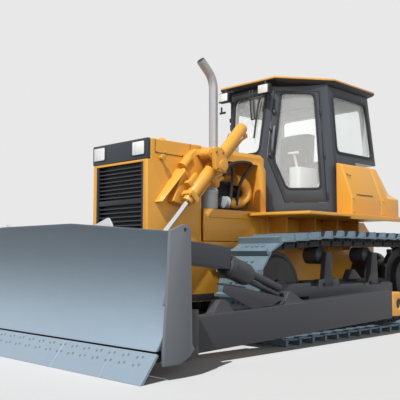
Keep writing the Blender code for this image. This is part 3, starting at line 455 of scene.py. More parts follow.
# ---- shapes -------------------------------------------------------------------------------
class Shape:
    """Closed shells in stations, gathered into one mesh."""

    def __init__(self, side: Side = Side.LEFT) -> None:
        """Start empty.

        Args:
            side: The side whose sign every X takes.
        """
        self.bm = bmesh.new()
        self.sign = side.value

    def loft(self, rings: Sequence[Sequence[Point]], closed: bool = False) -> "Shape":
        """Skin rings of equal length, with flat ends unless the run closes on itself.

        Args:
            rings: Rings of points, each in X, station and height.
            closed: Whether the last ring joins the first.

        Returns:
            The shape itself.
        """
        count = len(rings[0])
        verts = [
            [self.bm.verts.new((p[0] * self.sign, p[1] - MID_STATION, p[2])) for p in ring] for ring in rings
        ]
        faces = []
        for r in range(len(rings) if closed else len(rings) - 1):
            low, high = verts[r], verts[(r + 1) % len(rings)]
            for i in range(count):
                j = (i + 1) % count
                faces.append(self.bm.faces.new((low[i], low[j], high[j], high[i])))
        if not closed:
            faces.append(self.bm.faces.new(list(reversed(verts[0]))))
            faces.append(self.bm.faces.new(verts[-1]))
        bmesh.ops.recalc_face_normals(self.bm, faces=faces)
        return self

    def slab_x(self, outline: Outline, x0: float, x1: float) -> "Shape":
        """A plate across the machine; its outline is in station and height."""
        return self.loft([[(x, s, z) for s, z in outline] for x in (x0, x1)])

    def slab_y(self, outline: Outline, y0: float, y1: float) -> "Shape":
        """A plate square to the machine's length; its outline is in width and height."""
        return self.loft([[(x, y, z) for x, z in outline] for y in (y0, y1)])

    def slab_z(self, outline: Outline, z0: float, z1: float) -> "Shape":
        """A level plate; its outline is in width and station."""
        return self.loft([[(x, y, z) for x, y in outline] for z in (z0, z1)])

    def block(self, x0: float, x1: float, y0: float, y1: float, z0: float, z1: float) -> "Shape":
        """A rectangular block."""
        return self.slab_x([(y0, z0), (y1, z0), (y1, z1), (y0, z1)], x0, x1)

    def plate(self, corners: Sequence[Point], thickness: float) -> "Shape":
        """A flat plate on corners in space, thickened to the side its corners turn round."""
        points = [Vector(p) for p in corners]
        normal = (points[1] - points[0]).cross(points[2] - points[0]).normalized() * thickness
        return self.loft([points, [p + normal for p in points]])

    def turned(self, start: Point, end: Point, profile: Sequence[Point], sides: int = 24,
               closed: bool = False) -> "Shape":
        """A solid of revolution; profile is (distance from start, radius) pairs, and a closed one is a ring."""
        axis = (Vector(end) - Vector(start)).normalized()
        across = axis.orthogonal().normalized()
        other = axis.cross(across)
        rings = []
        for along, radius in profile:
            centre = Vector(start) + axis * along
            turns = [2 * math.pi * k / sides for k in range(sides)]
            rings.append([centre + (across * math.cos(t) + other * math.sin(t)) * radius for t in turns])
        return self.loft(rings, closed)

    def rod(self, start: Point, end: Point, radius: float, sides: int = 20) -> "Shape":
        """A plain round bar."""
        length = (Vector(end) - Vector(start)).length
        return self.turned(start, end, ((0, radius), (length, radius)), sides)

    def pipe(self, path: Sequence[Point], radius: float, sides: int = 12, smooth: int = 0) -> "Shape":
        """A round pipe along a path, its bends smoothed by corner cutting.

        Args:
            path: Points the pipe follows.
            radius: The pipe's radius.
            sides: Sides of its section.
            smooth: Rounds of corner cutting.

        Returns:
            The shape itself.
        """
        points = [Vector(p) for p in path]
        for _ in range(smooth):
            cut = [points[0]]
            for a, b in zip(points, points[1:]):
                cut += [a.lerp(b, 0.25), a.lerp(b, 0.75)]
            points = cut + [points[-1]]
        rings = []
        across = None
        for i, point in enumerate(points):
            along = (points[min(i + 1, len(points) - 1)] - points[max(i - 1, 0)]).normalized()
            if across is None:
                across = along.orthogonal().normalized()
            across = (across - along * across.dot(along)).normalized()
            other = along.cross(across)
            turns = [2 * math.pi * k / sides for k in range(sides)]
            rings.append([point + (across * math.cos(t) + other * math.sin(t)) * radius for t in turns])
        return self.loft(rings)

    def bar(self, path: Sequence[Point], half: float, closed: bool = False, up: Point = (0, 0, 1)) -> "Shape":
        """A square bar along a path, as for a seal or a flange."""
        points = [Vector(p) for p in path]
        rings = []
        count = len(points)
        for i, point in enumerate(points):
            before = points[i - 1] if closed or i else point
            after = points[(i + 1) % count] if closed or i < count - 1 else point
            along = (after - before).normalized()
            side = along.cross(Vector(up)).normalized()
            top = side.cross(along).normalized()
            rings.append([point + side * a * half + top * b * half for a, b in ((-1, -1), (1, -1), (1, 1), (-1, 1))])
        return self.loft(rings, closed)

    def piece(self, name: str, finish: Finish, body: str = "chassis", bevel: float = 0.0, segments: int = 2,
              replaces: Iterable[str] = ()) -> bpy.types.Object:
        """Turn the shape into a piece of the machine.

        Args:
            name: The piece's name.
            finish: Its finish.
            body: The CAD body it rides on.
            bevel: Width of the rounding on its edges.
            segments: Segments of that rounding.
            replaces: CAD nodes that it stands for.

        Returns:
            The finished object.
        """
        mesh = bpy.data.meshes.new(name)
        self.bm.to_mesh(mesh)
        self.bm.free()
        return finished(mesh, name, finish, body, bevel, segments, replaces)


def finished(mesh: bpy.types.Mesh, name: str, finish: Finish, body: str, bevel: float = 0.0, segments: int = 2,
             replaces: Iterable[str] = ()) -> bpy.types.Object:
    """Link a mesh as a piece: round its edges, shade it, dress it and let it ride.

    Args:
        mesh: The mesh, in the frame's own place.
        name: The piece's name.
        finish: Its finish.
        body: The CAD body it rides on.
        bevel: Width of the rounding on its edges.
        segments: Segments of that rounding.
        replaces: CAD nodes that it stands for.

    Returns:
        The finished object.
    """
    item = bpy.data.objects.new(name, mesh)
    bpy.context.scene.collection.objects.link(item)
    if bevel:
        modifier = item.modifiers.new("edges", "BEVEL")
        modifier.width = bevel
        modifier.segments = segments
        modifier.limit_method = "ANGLE"
        modifier.angle_limit = math.radians(32)
        evaluated = item.evaluated_get(bpy.context.evaluated_depsgraph_get())
        rounded_mesh = bpy.data.meshes.new_from_object(evaluated)
        item.modifiers.clear()
        item.data = rounded_mesh
        bpy.data.meshes.remove(mesh)
        rounded_mesh.name = name
    item.data.materials.clear()
    item.data.materials.append(finish.material())
    item.data.shade_smooth()
    item.data.set_sharp_from_angle(angle=SMOOTH_BELOW)
    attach(item, body)
    if replaces:
        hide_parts(*replaces)
    LOG.info("piece %s: %d faces on %s", name, len(item.data.polygons), body)
    return item


def refined(node: str, finish: Finish, body: str = "chassis", bevel: float = 0.006, segments: int = 2) -> bpy.types.Object:
    """A copy of a CAD node with rounded edges, which stands for it."""
    bm = bmesh.new()
    bm.from_mesh(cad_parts[node].data)
    bmesh.ops.remove_doubles(bm, verts=bm.verts, dist=0.00005)
    bmesh.ops.dissolve_limit(bm, angle_limit=math.radians(0.6), verts=bm.verts, edges=bm.edges)
    mesh = bpy.data.meshes.new(node)
    bm.to_mesh(mesh)
    bm.free()
    return finished(mesh, f"{node}_shell", finish, body, bevel, segments, (node,))


def dress(node: str, finish: Finish) -> None:
    """Give a CAD node that stays its finish."""
    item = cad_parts[node]
    item.data.materials.clear()
    item.data.materials.append(finish.material())


def arc(centre: Point, radius: float, start: float, end: float, steps: int) -> list[tuple[float, float]]:
    """Points on an arc, angles in degrees."""
    turns = [math.radians(start + (end - start) * k / steps) for k in range(steps + 1)]
    return [(centre[0] + radius * math.cos(t), centre[1] + radius * math.sin(t)) for t in turns]


def rounded(outline: Outline, radius: float, steps: int = 5) -> list[tuple[float, float]]:
    """The same outline with each corner replaced by a smooth curve."""
    result = []
    for i, corner in enumerate(outline):
        corner = Vector(corner)
        back = Vector(outline[i - 1]) - corner
        ahead = Vector(outline[(i + 1) % len(outline)]) - corner
        first, last = corner + back.normalized() * radius, corner + ahead.normalized() * radius
        for k in range(steps + 1):
            t = k / steps
            result.append(tuple(first * (1 - t) ** 2 + corner * 2 * t * (1 - t) + last * t ** 2))
    return result


def grown(outline: Outline, distance: float) -> list[tuple[float, float]]:
    """An outline moved outwards by a distance; a negative one moves it inwards."""
    points = [Vector(p) for p in outline]
    area = sum(a.x * b.y - b.x * a.y for a, b in zip(points, points[1:] + points[:1]))
    turn = 1.0 if area > 0 else -1.0
    result = []
    for i, point in enumerate(points):
        before = (point - points[i - 1]).normalized()
        after = (points[(i + 1) % len(points)] - point).normalized()
        n1, n2 = Vector((before.y, -before.x)) * turn, Vector((after.y, -after.x)) * turn
        result.append(tuple(point + (n1 + n2) * (distance / (1 + n1.dot(n2)))))
    return result


# ---- geometry trees -----------------------------------------------------------------------
class Repeater:
    """A Geometry Nodes tree that repeats an item, with named inputs."""

    def __init__(self, name: str, inputs: Sequence[tuple[str, str, object]]) -> None:
        """Make the empty tree.

        Args:
            name: The tree's name.
            inputs: Name, socket kind and default of each input after the geometry.
        """
        self.tree = bpy.data.node_groups.new(name, "GeometryNodeTree")
        face = self.tree.interface
        face.new_socket("Geometry", in_out="INPUT", socket_type="NodeSocketGeometry")
        self.names: dict[str, str] = {}
        for label, kind, default in inputs:
            socket = face.new_socket(label, in_out="INPUT", socket_type=f"NodeSocket{kind}")
            if default is not None:
                socket.default_value = default
            self.names[label] = socket.identifier
        face.new_socket("Geometry", in_out="OUTPUT", socket_type="NodeSocketGeometry")
        self.graph = Graph(self.tree)
        self.given = self.graph.add("NodeGroupInput").outputs
        self.out = self.graph.add("NodeGroupOutput").inputs

    def close(self, geometry: bpy.types.NodeSocket) -> None:
        """End the tree in real geometry with its material."""
        real = self.graph.add("GeometryNodeRealizeInstances", {0: geometry})
        dressed = self.graph.add("GeometryNodeSetMaterial", {"Geometry": real.outputs[0], "Material": self.given["Material"]})
        self.tree.links.new(dressed.outputs[0], self.out[0])

    def run(self, host: bpy.types.Object, values: dict[str, object]) -> bpy.types.Mesh:
        """Evaluate the tree on a host object.

        Args:
            host: The object whose geometry the tree reads; it is removed afterwards.
            values: Input values by name.

        Returns:
            The plain mesh.
        """
        modifier = host.modifiers.new("repeat", "NODES")
        modifier.node_group = self.tree
        for label, value in values.items():
            modifier[self.names[label]] = value
        host.update_tag()
        bpy.context.view_layer.update()
        evaluated = host.evaluated_get(bpy.context.evaluated_depsgraph_get())
        mesh = bpy.data.meshes.new_from_object(evaluated)
        host.modifiers.clear()
        bpy.data.objects.remove(host)
        return mesh


def aligned(graph: Graph, axis: str, vector: object, rotation: object | None = None, pivot: str = "AUTO"):
    """A rotation whose axis points along a vector."""
    inputs = {"Vector": vector}
    if rotation is not None:
        inputs["Rotation"] = rotation
    node = graph.add("FunctionNodeAlignRotationToVector", inputs, axis=axis, pivot_axis=pivot)
    return node.outputs[0]


def path_repeater() -> Repeater:
    """Items at equal distances round a closed path, their Z outwards and their Y along it."""
    rep = Repeater("items_along_path", [
        ("Item", "Object", None), ("Count", "Int", 10), ("Material", "Material", None)])
    g = rep.graph
    points = g.add("GeometryNodeCurveToPoints", {"Curve": rep.given["Geometry"], "Count": rep.given["Count"]}, mode="COUNT")
    tangent = points.outputs["Tangent"]
    outward = g.add("ShaderNodeVectorMath", {0: tangent, 1: (1.0, 0.0, 0.0)}, operation="CROSS_PRODUCT").outputs[0]
    turn = aligned(g, "Y", tangent, aligned(g, "Z", outward), "Z")
    item = g.add("GeometryNodeObjectInfo", {"Object": rep.given["Item"]})
    placed = g.add("GeometryNodeInstanceOnPoints", {
        "Points": points.outputs["Points"], "Instance": item.outputs["Geometry"], "Rotation": turn})
    rep.close(placed.outputs[0])
    return rep


def point_repeater() -> Repeater:
    """Items on loose points, each turned to its point's axis and sized by its point's size."""
    rep = Repeater("items_on_points", [("Item", "Object", None), ("Material", "Material", None)])
    g = rep.graph
    axis = g.add("GeometryNodeInputNamedAttribute", {"Name": "axis"}, data_type="FLOAT_VECTOR").outputs[0]
    size = g.add("GeometryNodeInputNamedAttribute", {"Name": "size"}, data_type="FLOAT").outputs[0]
    cloud = g.add("GeometryNodeMeshToPoints", {"Mesh": rep.given["Geometry"]})
    item = g.add("GeometryNodeObjectInfo", {"Object": rep.given["Item"]})
    placed = g.add("GeometryNodeInstanceOnPoints", {
        "Points": cloud.outputs[0], "Instance": item.outputs["Geometry"],
        "Rotation": aligned(g, "Z", axis), "Scale": size})
    rep.close(placed.outputs[0])
    return rep


def row_repeater() -> Repeater:
    """The host's own mesh repeated along a straight row."""
    rep = Repeater("items_in_row", [
        ("Count", "Int", 5), ("Step", "Vector", (0.0, 0.0, 0.1)), ("Material", "Material", None)])
    g = rep.graph
    line = g.add("GeometryNodeMeshLine", {"Count": rep.given["Count"], "Offset": rep.given["Step"]}, mode="OFFSET")
    placed = g.add("GeometryNodeInstanceOnPoints", {"Points": line.outputs[0], "Instance": rep.given["Geometry"]})
    rep.close(placed.outputs[0])
    return rep


def ring_repeater() -> Repeater:
    """The host's own mesh, drawn round the X axis, repeated round it."""
    rep = Repeater("items_in_ring", [("Count", "Int", 12), ("Material", "Material", None)])
    g = rep.graph
    line = g.add("GeometryNodeMeshLine", {"Count": rep.given["Count"], "Offset": (0.0, 0.0, 0.0)}, mode="OFFSET")
    index = g.add("GeometryNodeInputIndex").outputs[0]
    step = g.math("DIVIDE", 2 * math.pi, rep.given["Count"])
    spin = g.add("ShaderNodeCombineXYZ", {0: g.math("MULTIPLY", index, step)}).outputs[0]
    placed = g.add("GeometryNodeInstanceOnPoints", {
        "Points": line.outputs[0], "Instance": rep.given["Geometry"], "Rotation": spin})
    rep.close(placed.outputs[0])
    return rep


@dataclass
class Trees:
    """The geometry trees, each built once."""

    path: Repeater = field(default_factory=path_repeater)
    points: Repeater = field(default_factory=point_repeater)
    row: Repeater = field(default_factory=row_repeater)
    ring: Repeater = field(default_factory=ring_repeater)


TREES = Trees()


def host_of(shape: Shape, name: str = "host") -> bpy.types.Object:
    """A linked object that holds a shape's mesh, as a host for a tree."""
    mesh = bpy.data.meshes.new(name)
    shape.bm.to_mesh(mesh)
    shape.bm.free()
    item = bpy.data.objects.new(name, mesh)
    bpy.context.scene.collection.objects.link(item)
    return item


def moved(mesh: bpy.types.Mesh, side: Side, shift: Point = (0.0, 0.0, 0.0)) -> bpy.types.Mesh:
    """Put a mesh in its place on one side of the machine, its faces still outwards."""
    mesh.transform(Matrix.Translation(Vector(shift)))
    if side is Side.RIGHT:
        mesh.transform(Matrix.Scale(-1, 4, (1, 0, 0)))
        mesh.flip_normals()
    return mesh


class Fasteners:
    """Bolt heads, gathered by body and finish and placed by one tree."""

    def __init__(self) -> None:
        """Start with none."""
        self.held: dict[tuple[str, Finish], list[tuple[Vector, Vector, float]]] = {}
        self.template = self.head()

    @staticmethod
    def head() -> bpy.types.Object:
        """A hexagon head on its washer, 1 m across the washer, to be scaled."""
        shape = Shape()
        origin = (0.0, MID_STATION, 0.0)
        shape.turned(origin, (0.0, MID_STATION, 1.0), ((-0.1, 0.5), (0.10, 0.5), (0.12, 0.47)), 12)
        shape.turned(origin, (0.0, MID_STATION, 1.0), ((0.05, 0.38), (0.40, 0.38), (0.46, 0.30)), 6)
        item = host_of(shape, "bolt_head")
        item.hide_render = True
        return item

    def add(self, body: str, finish: Finish, point: Point, axis: Point, size: float = 0.035) -> None:
        """Note one bolt.

        Args:
            body: The CAD body it rides on.
            finish: Its finish.
            point: Its seat, in X, station and height.
            axis: The direction its head stands proud.
            size: Width of its washer.
        """
        place = Vector((point[0], point[1] - MID_STATION, point[2]))
        self.held.setdefault((body, finish), []).append((place, Vector(axis).normalized(), size))

    def both(self, body: str, finish: Finish, point: Point, axis: Point, size: float = 0.035) -> None:
        """Note a bolt on the left and its twin on the right."""
        for side in Side:
            self.add(body, finish, (point[0] * side.value, *point[1:]), (axis[0] * side.value, *axis[1:]), size)

    def line(self, body: str, finish: Finish, start: Point, end: Point, count: int, axis: Point,
             size: float = 0.035) -> None:
        """Note an evenly spaced row of bolts on both sides."""
        for k in range(count):
            t = k / max(count - 1, 1)
            self.both(body, finish, Vector(start).lerp(Vector(end), t), axis, size)

    def build(self) -> None:
        """Make one piece for each body and finish."""
        for (body, finish), bolts in self.held.items():
            mesh = bpy.data.meshes.new("points")
            mesh.from_pydata([b[0] for b in bolts], [], [])
            mesh.attributes.new("axis", "FLOAT_VECTOR", "POINT")
            mesh.attributes.new("size", "FLOAT", "POINT")
            for k, (_, axis, size) in enumerate(bolts):
                mesh.attributes["axis"].data[k].vector = axis
                mesh.attributes["size"].data[k].value = size
            host = bpy.data.objects.new("points", mesh)
            bpy.context.scene.collection.objects.link(host)
            placed = TREES.points.run(host, {"Item": self.template, "Material": finish.material()})
            finished(placed, f"bolts_{body}_{finish.name}", finish, body)
        bpy.data.objects.remove(self.template)


BOLTS = Fasteners()


# ---- blade --------------------------------------------------------------------------------
@dataclass
class BladeGroup:
    """The blade with its frame, push arms and braces."""

    half: float = 1.694
    end_plate: float = 0.026
    top_end: float = 1.0116
    top_middle: float = 1.0954
    middle_half: float = 0.5538
    arc_radius: float = 0.82
    arc_centre: tuple[float, float] = (-0.761, 0.6955)
    skin: float = 0.022
    arc_foot: float = 0.20
    edge_tip: tuple[float, float] = (-0.26, 0.0)
    edge_slope: float = math.radians(52.8)
    edge_length: float = 0.24
    edge_thick: float = 0.025
    body: str = "blade"

    def station(self, height: float, radius: float) -> float:
        """Station of the moldboard's arc at a height."""
        centre_station, centre_height = self.arc_centre
        return centre_station + math.sqrt(radius ** 2 - (height - centre_height) ** 2)

    def moldboard(self) -> None:
        """The hollow plate, finer than the CAD's, with its raised middle."""
        inside = self.half - self.end_plate - 0.0003
        stops = ((-inside, self.top_end), (-self.middle_half, self.top_middle), (self.middle_half, self.top_middle),
                 (inside, self.top_end))
        rings = []
        for x, top in stops:
            heights = [self.arc_foot + (top - self.arc_foot) * k / 48 for k in range(49)]
            face = [(x, self.station(z, self.arc_radius), z) for z in heights]
            back = [(x, self.station(z, self.arc_radius + self.skin), z) for z in reversed(heights)]
            rings.append(face + back)
        Shape().loft(rings).piece("moldboard_plate", BLADE, self.body, 0.004, 2, ("moldboard",))

    def edge_point(self, along: float, proud: float) -> tuple[float, float]:
        """Station and height on the cutting edge's face, measured up from its tip."""
        direction = Vector((math.cos(self.edge_slope), math.sin(self.edge_slope)))
        behind = Vector((direction.y, -direction.x))
        point = Vector(self.edge_tip) + direction * along - behind * proud
        return point.x, point.y

    def cutting_edge(self) -> None:
        """Three bolted edge sections with their end bits and two rows of plough bolts."""
        cuts = (-self.half, -1.24, -0.62, 0.62, 1.24, self.half)
        shape = Shape()
        tip, top = self.edge_point(0, 0), self.edge_point(self.edge_length, 0)
        top_back = self.edge_point(self.edge_length, -self.edge_thick)
        heel = (tip[0] + self.edge_thick / math.sin(self.edge_slope), tip[1])
        for x0, x1 in zip(cuts, cuts[1:]):
            shape.slab_x([tip, heel, top_back, top], x0 + 0.0012, x1 - 0.0012)
        shape.piece("cutting_edge_bits", BLADE, self.body, 0.003, 1, ("cutting_edge",))
        heads = Shape()
        pitch, count = 0.155, 21
        for k in range(count):
            x = (k - (count - 1) / 2) * pitch
            for along in (0.135, 0.195):
                for dx in (-0.026, 0.026):
                    seat = self.edge_point(along + (0.008 if dx > 0 else 0.0), -0.001)
                    lift = self.edge_point(along + (0.008 if dx > 0 else 0.0), 0.002)
                    heads.turned((x + dx, *seat), (x + dx, *lift), ((0, 0.011), (0.003, 0.010)), 10)
        heads.piece("plough_bolts", PLATE, self.body)

    def end_plates(self) -> None:
        """The flat end plates with their lifting lugs."""
        inner = self.half - self.end_plate
        outline = [(0.0, 1.012), (-0.027, 0.503), (-0.055, 0.20), (-0.055, 0.10), (0.10, 0.10), (0.187, 0.142),
                   (0.236, 0.190), (0.212, 0.227), (0.198, 1.016), (0.188, 1.040), (0.165, 1.056), (0.125, 1.059),
                   (0.10, 1.05)]
        lug = rounded([(0.575, 0.99), (0.600, 1.082), (0.800, 1.142), (0.852, 1.075), (0.86, 0.99)], 0.02, 4)
        for side in Side:
            Shape(side).slab_y(lug, 0.140, 0.158).piece(f"top_lug_{side.word}", TRIM, self.body, 0.003)
            Shape(side).slab_x(outline, inner, self.half).piece(
                f"end_plate_{side.word}", PLATE, self.body, 0.004, 2)
            # Painted shade: the end plate is not cut; a black plug stands in for the lifting hole and the shade within
            # it.
            hole = Shape(side).rod((inner - 0.001, 0.140, 1.022), (self.half + 0.001, 0.140, 1.022), 0.014, 16)
            hole.piece(f"lug_hole_{side.word}", BLACK, self.body)
            strip = Shape(side).slab_x([(0.004, 0.58), (-0.022, 0.50), (-0.030, 0.505), (-0.006, 0.588)],
                                       inner - 0.02, inner)
            strip.piece(f"end_plate_notch_{side.word}", PLATE, self.body, 0.002)

    def beam_outline(self, low: float, high: float, rear: float) -> list[tuple[float, float]]:
        """A box beam that follows the back of the moldboard between two heights."""
        radius = self.arc_radius + self.skin + 0.0015
        heights = [low + (high - low) * k / 8 for k in range(9)]
        return [(self.station(z, radius), z) for z in heights] + [(rear, high), (rear, low)]

    def frame(self) -> None:
        """Box beams, ribs, tilt boxes and the cheeks that hold the rod eyes."""
        inner = self.half - self.end_plate
        shape = Shape()
        shape.slab_x(self.beam_outline(0.202, 0.46, 0.30), -inner, inner)
        shape.slab_x(self.beam_outline(0.84, 0.97, 0.16), -inner, inner)
        shape.slab_x([(-0.05, 0.115), (0.02, 0.205), (0.30, 0.205), (0.30, 0.13), (0.20, 0.105)], -inner, inner)
        for x in (-1.05, -0.35, 0.35, 1.05):
            shape.slab_x(self.beam_outline(0.44, 0.86, 0.17), x - 0.012, x + 0.012)
        shape.piece("blade_beams", DARK, self.body, 0.006, 2, ("blade_frame",))
        tilt_box = [(0.105, 0.99), (0.944, 0.911), (0.937, 0.727), (0.105, 0.82)]
        cheek = [(0.12, 0.40), (0.12, 0.60), (0.40, 0.71), (0.55, 0.68), (0.58, 0.60), (0.50, 0.50), (0.29, 0.40)]
        for side in Side:
            Shape(side).slab_x(tilt_box, 1.215, 1.385).piece(f"tilt_box_{side.word}", DARK, self.body, 0.012, 3)
            cheeks = Shape(side)
            for x in (0.538, 0.632):
                cheeks.slab_x(rounded(cheek, 0.03, 4), x, x + 0.03)
            cheeks.rod((0.528, 0.50, 0.62), (0.672, 0.50, 0.62), 0.026)
            cheeks.piece(f"eye_cheeks_{side.word}", DARK, self.body, 0.004)

    def arms(self) -> None:
        """Push arms, their caps, the braces and the folded guards over them."""
        for side in Side:
            word = side.word
            refined(f"push_arm_{word}", DARK, self.body, 0.010, 3)
            refined(f"trunnion_cap_{word}", YELLOW, self.body, 0.010, 3)
            brace = Shape(side)
            start, end = Vector((1.3025, 0.962, 0.76)), Vector((1.3025, 1.64, 0.530))
            along = (end - start).normalized()
            brace.turned(start, end, ((-0.02, 0.080), (0.0, 0.094), (0.25, 0.094), (0.285, 0.080), (0.30, 0.045)), 36)
            brace.turned(start, end, ((0.02, 0.100), (0.05, 0.100)), 36)
            brace.piece(f"brace_barrel_{word}", DARK, self.body, 0.004, 2, (f"tilt_brace_{word}",))
            tube = Shape(side)
            across = Vector((0, along.z, -along.y))
            for offset, radius in ((0.028, 0.034), (-0.040, 0.024)):
                first = start + along * 0.22 - across * offset
                last = end - across * offset * 0.9
                tube.rod(first, last, radius, 24)
            tube.piece(f"brace_rods_{word}", DARK, self.body, 0.003)
            guard = Shape(side)
            fold = [(0.883, 0.605), (1.135, 0.571), (1.655, 0.470), (1.50, 0.415), (1.23, 0.391), (0.868, 0.548)]
            guard.slab_x([(s, z) for s, z in fold], 1.352, 1.364)
            guard.slab_x([(0.883, 0.605), (1.135, 0.571), (1.16, 0.58), (0.89, 0.617)], 1.27, 1.36)
            guard.piece(f"brace_guard_{word}", DARK, self.body, 0.004)

    def dress(self) -> None:
        """Build and dress the whole group."""
        self.moldboard()
        self.cutting_edge()
        self.end_plates()
        self.frame()
        self.arms()


# ---- lift ---------------------------------------------------------------------------------
@dataclass
class LiftGroup:
    """Lift cylinders and the yokes that carry them."""

    x: float = 0.60
    trunnion: tuple[float, float] = (1.531, 1.689)
    eye: tuple[float, float] = (0.50, 0.62)
    ahead: float = 0.50
    behind: float = 0.62

    def axis(self) -> Vector:
        """Unit vector from the trunnion to the rod's eye."""
        return Vector((0, self.eye[0] - self.trunnion[0], self.eye[1] - self.trunnion[1])).normalized()

    def barrel(self, side: Side) -> None:
        """Barrel with its clamp ring, square head, gland, end cap and oil pipe."""
        centre, axis = Vector((self.x, *self.trunnion)), self.axis()
        top = centre - axis * self.behind
        length = self.ahead + self.behind
        lift = Vector((0, -axis.z, axis.y))
        body = f"barrel_{side.word}"
        shell = Shape(side)
        shell.turned(top, centre, (
            (0, 0.002), (0, 0.040), (0.010, 0.054), (0.022, 0.0605), (0.612, 0.0605), (0.615, 0.0575),
            (0.625, 0.0575), (0.628, 0.0605), (length - 0.085, 0.0605), (length - 0.085, 0.052),
            (length - 0.003, 0.050), (length, 0.046), (length, 0.0265), (length - 0.04, 0.0265),
            (length - 0.04, 0.0415), (0.03, 0.0415), (0.03, 0.002)), 40, True)
        for out in (0.0585, -0.125):
            shell.rod(centre + Vector((out, 0, 0)), centre + Vector((out + 0.0665, 0, 0)), 0.032, 20)
        shell.turned(top, centre, ((0.565, 0.0595), (0.565, 0.068), (0.675, 0.068), (0.675, 0.0595)), 40, True)
        head = Shape(side)
        near, far = top + axis * (length - 0.10), top + axis * (length - 0.045)
        turns = [math.radians(15 * k) for k in range(24)]
        outer = [1 / max(abs(math.cos(t)), abs(math.sin(t))) * 0.066 for t in turns]
        rings = []
        for end, reach in ((near, outer), (far, outer), (far, [0.046] * 24), (near, [0.046] * 24)):
            rings.append([end + Vector((math.cos(t) * r, 0, 0)) + lift * (math.sin(t) * r) for t, r in zip(turns, reach)])
        head.loft(rings, closed=True)
        for x0, x1, near_edge, far_edge, out in ((-0.05, 0.0, 0.30, 0.17, 0.105), (-0.055, 0.01, 0.18, 0.14, 0.118)):
            corners = [top + axis * (length - near_edge) - lift * 0.055, top + axis * (length - far_edge) - lift * 0.055,
                       top + axis * (length - far_edge) - lift * out, top + axis * (length - near_edge) - lift * out]
            head.loft([[c + Vector((x, 0, 0)) for c in corners] for x in (x0, x1)])
        port = top + axis * 0.045 + lift * 0.060
        shell.turned(port - lift * 0.005, port + lift * 0.05, ((0, 0.026), (0.040, 0.026), (0.055, 0.018)), 16)
        shell.piece(f"barrel_tube_{side.word}", YELLOW, body, 0.003, 2, (f"lift_barrel_{side.word}",))
        head.piece(f"barrel_head_{side.word}", YELLOW, body, 0.006, 2)
        oil = Shape(side)
        away = lift * 0.080
        oil.pipe([port + lift * 0.035, port + lift * 0.035 + axis * 0.03, top + axis * 0.14 + away,
                  top + axis * 0.45 + away], 0.011, 10, 2)
        oil.pipe([top + axis * 0.76 + away, top + axis * (length - 0.13) + away,
                  top + axis * (length - 0.07) + lift * 0.06], 0.011, 10, 2)
        oil.piece(f"oil_pipes_{side.word}", YELLOW, body)
        for a, b in ((-1, -1), (1, -1), (1, 1), (-1, 1)):
            spot = far + Vector((a * 0.050, 0, 0)) + lift * (b * 0.050)
            spot.x *= side.value
            BOLTS.add(body, YELLOW, spot, axis, 0.024)

    def rod(self, side: Side) -> None:
        """The chrome rod with its eye."""
        eye = Vector((self.x, *self.eye))
        centre, axis = Vector((self.x, *self.trunnion)), self.axis()
        inner = centre + axis * (self.ahead - 0.39)
        body = f"rod_{side.word}"
        shaft = Shape(side)
        shaft.turned(inner, eye, ((0, 0.040), (0.03, 0.040), (0.03, 0.0245), ((eye - inner).length - 0.03, 0.0245)), 32)
        shaft.piece(f"rod_shaft_{side.word}", CHROME, body, 0.0, 2, (f"lift_rod_{side.word}",))
        ring = Shape(side)
        ring.rod(eye - Vector((0.022, 0, 0)), eye + Vector((0.022, 0, 0)), 0.055, 32)
        ring.turned(eye - axis * 0.11, eye, ((0, 0.030), (0.02, 0.034), (0.08, 0.034)), 24)
        ring.piece(f"rod_eye_{side.word}", DARK, body, 0.003)

    def yoke(self, side: Side) -> None:
        """Yoke cheeks, bearing caps, the swivel block and its hoses."""
        s, z = self.trunnion
        word = side.word
        shape = Shape(side)
        shape.slab_x([(1.10, 1.34), (1.28, 1.30), (1.56, 1.56), (1.60, 1.72), (1.54, 1.83), (1.40, 1.86),
                      (1.30, 1.78)], 0.4178, 0.505)
        shape.slab_x(rounded([(s - 0.10, z - 0.06), (s + 0.05, z - 0.075), (s + 0.075, z + 0.03), (s, z + 0.17),
                              (s - 0.13, z + 0.17)], 0.03, 4), 0.69, 0.74)
        shape.slab_x([(s - 0.13, z + 0.105), (s - 0.01, z + 0.115), (s - 0.02, z + 0.165), (s - 0.12, z + 0.165)],
                     0.49, 0.71)
        shape.piece(f"yoke_{word}", YELLOW, "chassis", 0.010, 3, (f"lift_yoke_{word}",))
        caps = Shape(side)
        caps.rod((0.56, 1.425, 1.80), (0.69, 1.425, 1.80), 0.045, 24)
        slope = Vector((0.0, *self.axis().yz))
        seat = Vector((0.475, 1.335, 1.765))
        caps.turned(seat, seat + slope, ((0, 0.046), (0.11, 0.046), (0.112, 0.052), (0.13, 0.052)), 24)
        caps.rod((0.735, s, z), (0.752, s, z), 0.055, 28)
        caps.piece(f"yoke_caps_{word}", YELLOW, "chassis", 0.008, 3)
        rib = Shape(side)
        rib.plate([(0.4178, 1.22, 1.66), (0.53, 1.24, 1.64), (0.50, 0.97, 1.33), (0.4178, 0.95, 1.33)], 0.014)
        rib.piece(f"yoke_rib_{word}", YELLOW, "chassis", 0.004)
        for ds, dz in ((-0.09, -0.045), (0.045, -0.055), (0.05, 0.03), (-0.005, 0.14), (-0.11, 0.14)):
            BOLTS.both("chassis", YELLOW, (0.74, s + ds * 0.85, z + dz * 0.85), (1, 0, 0), 0.022)
        hoses = Shape(side)
        hoses.pipe([(0.50, 1.74, 1.64), (0.47, 1.88, 1.745), (0.43, 2.05, 1.800), (0.42, 2.24, 1.815),
                    (0.41, 2.33, 1.80), (0.385, 2.24, 1.70), (0.37, 2.15, 1.56), (0.36, 2.12, 1.36)], 0.017, 12, 3)
        hoses.pipe([(0.48, 1.78, 1.60), (0.45, 1.90, 1.70), (0.40, 2.00, 1.77), (0.375, 2.06, 1.72),
                    (0.36, 2.06, 1.58), (0.35, 2.03, 1.34)], 0.017, 12, 3)
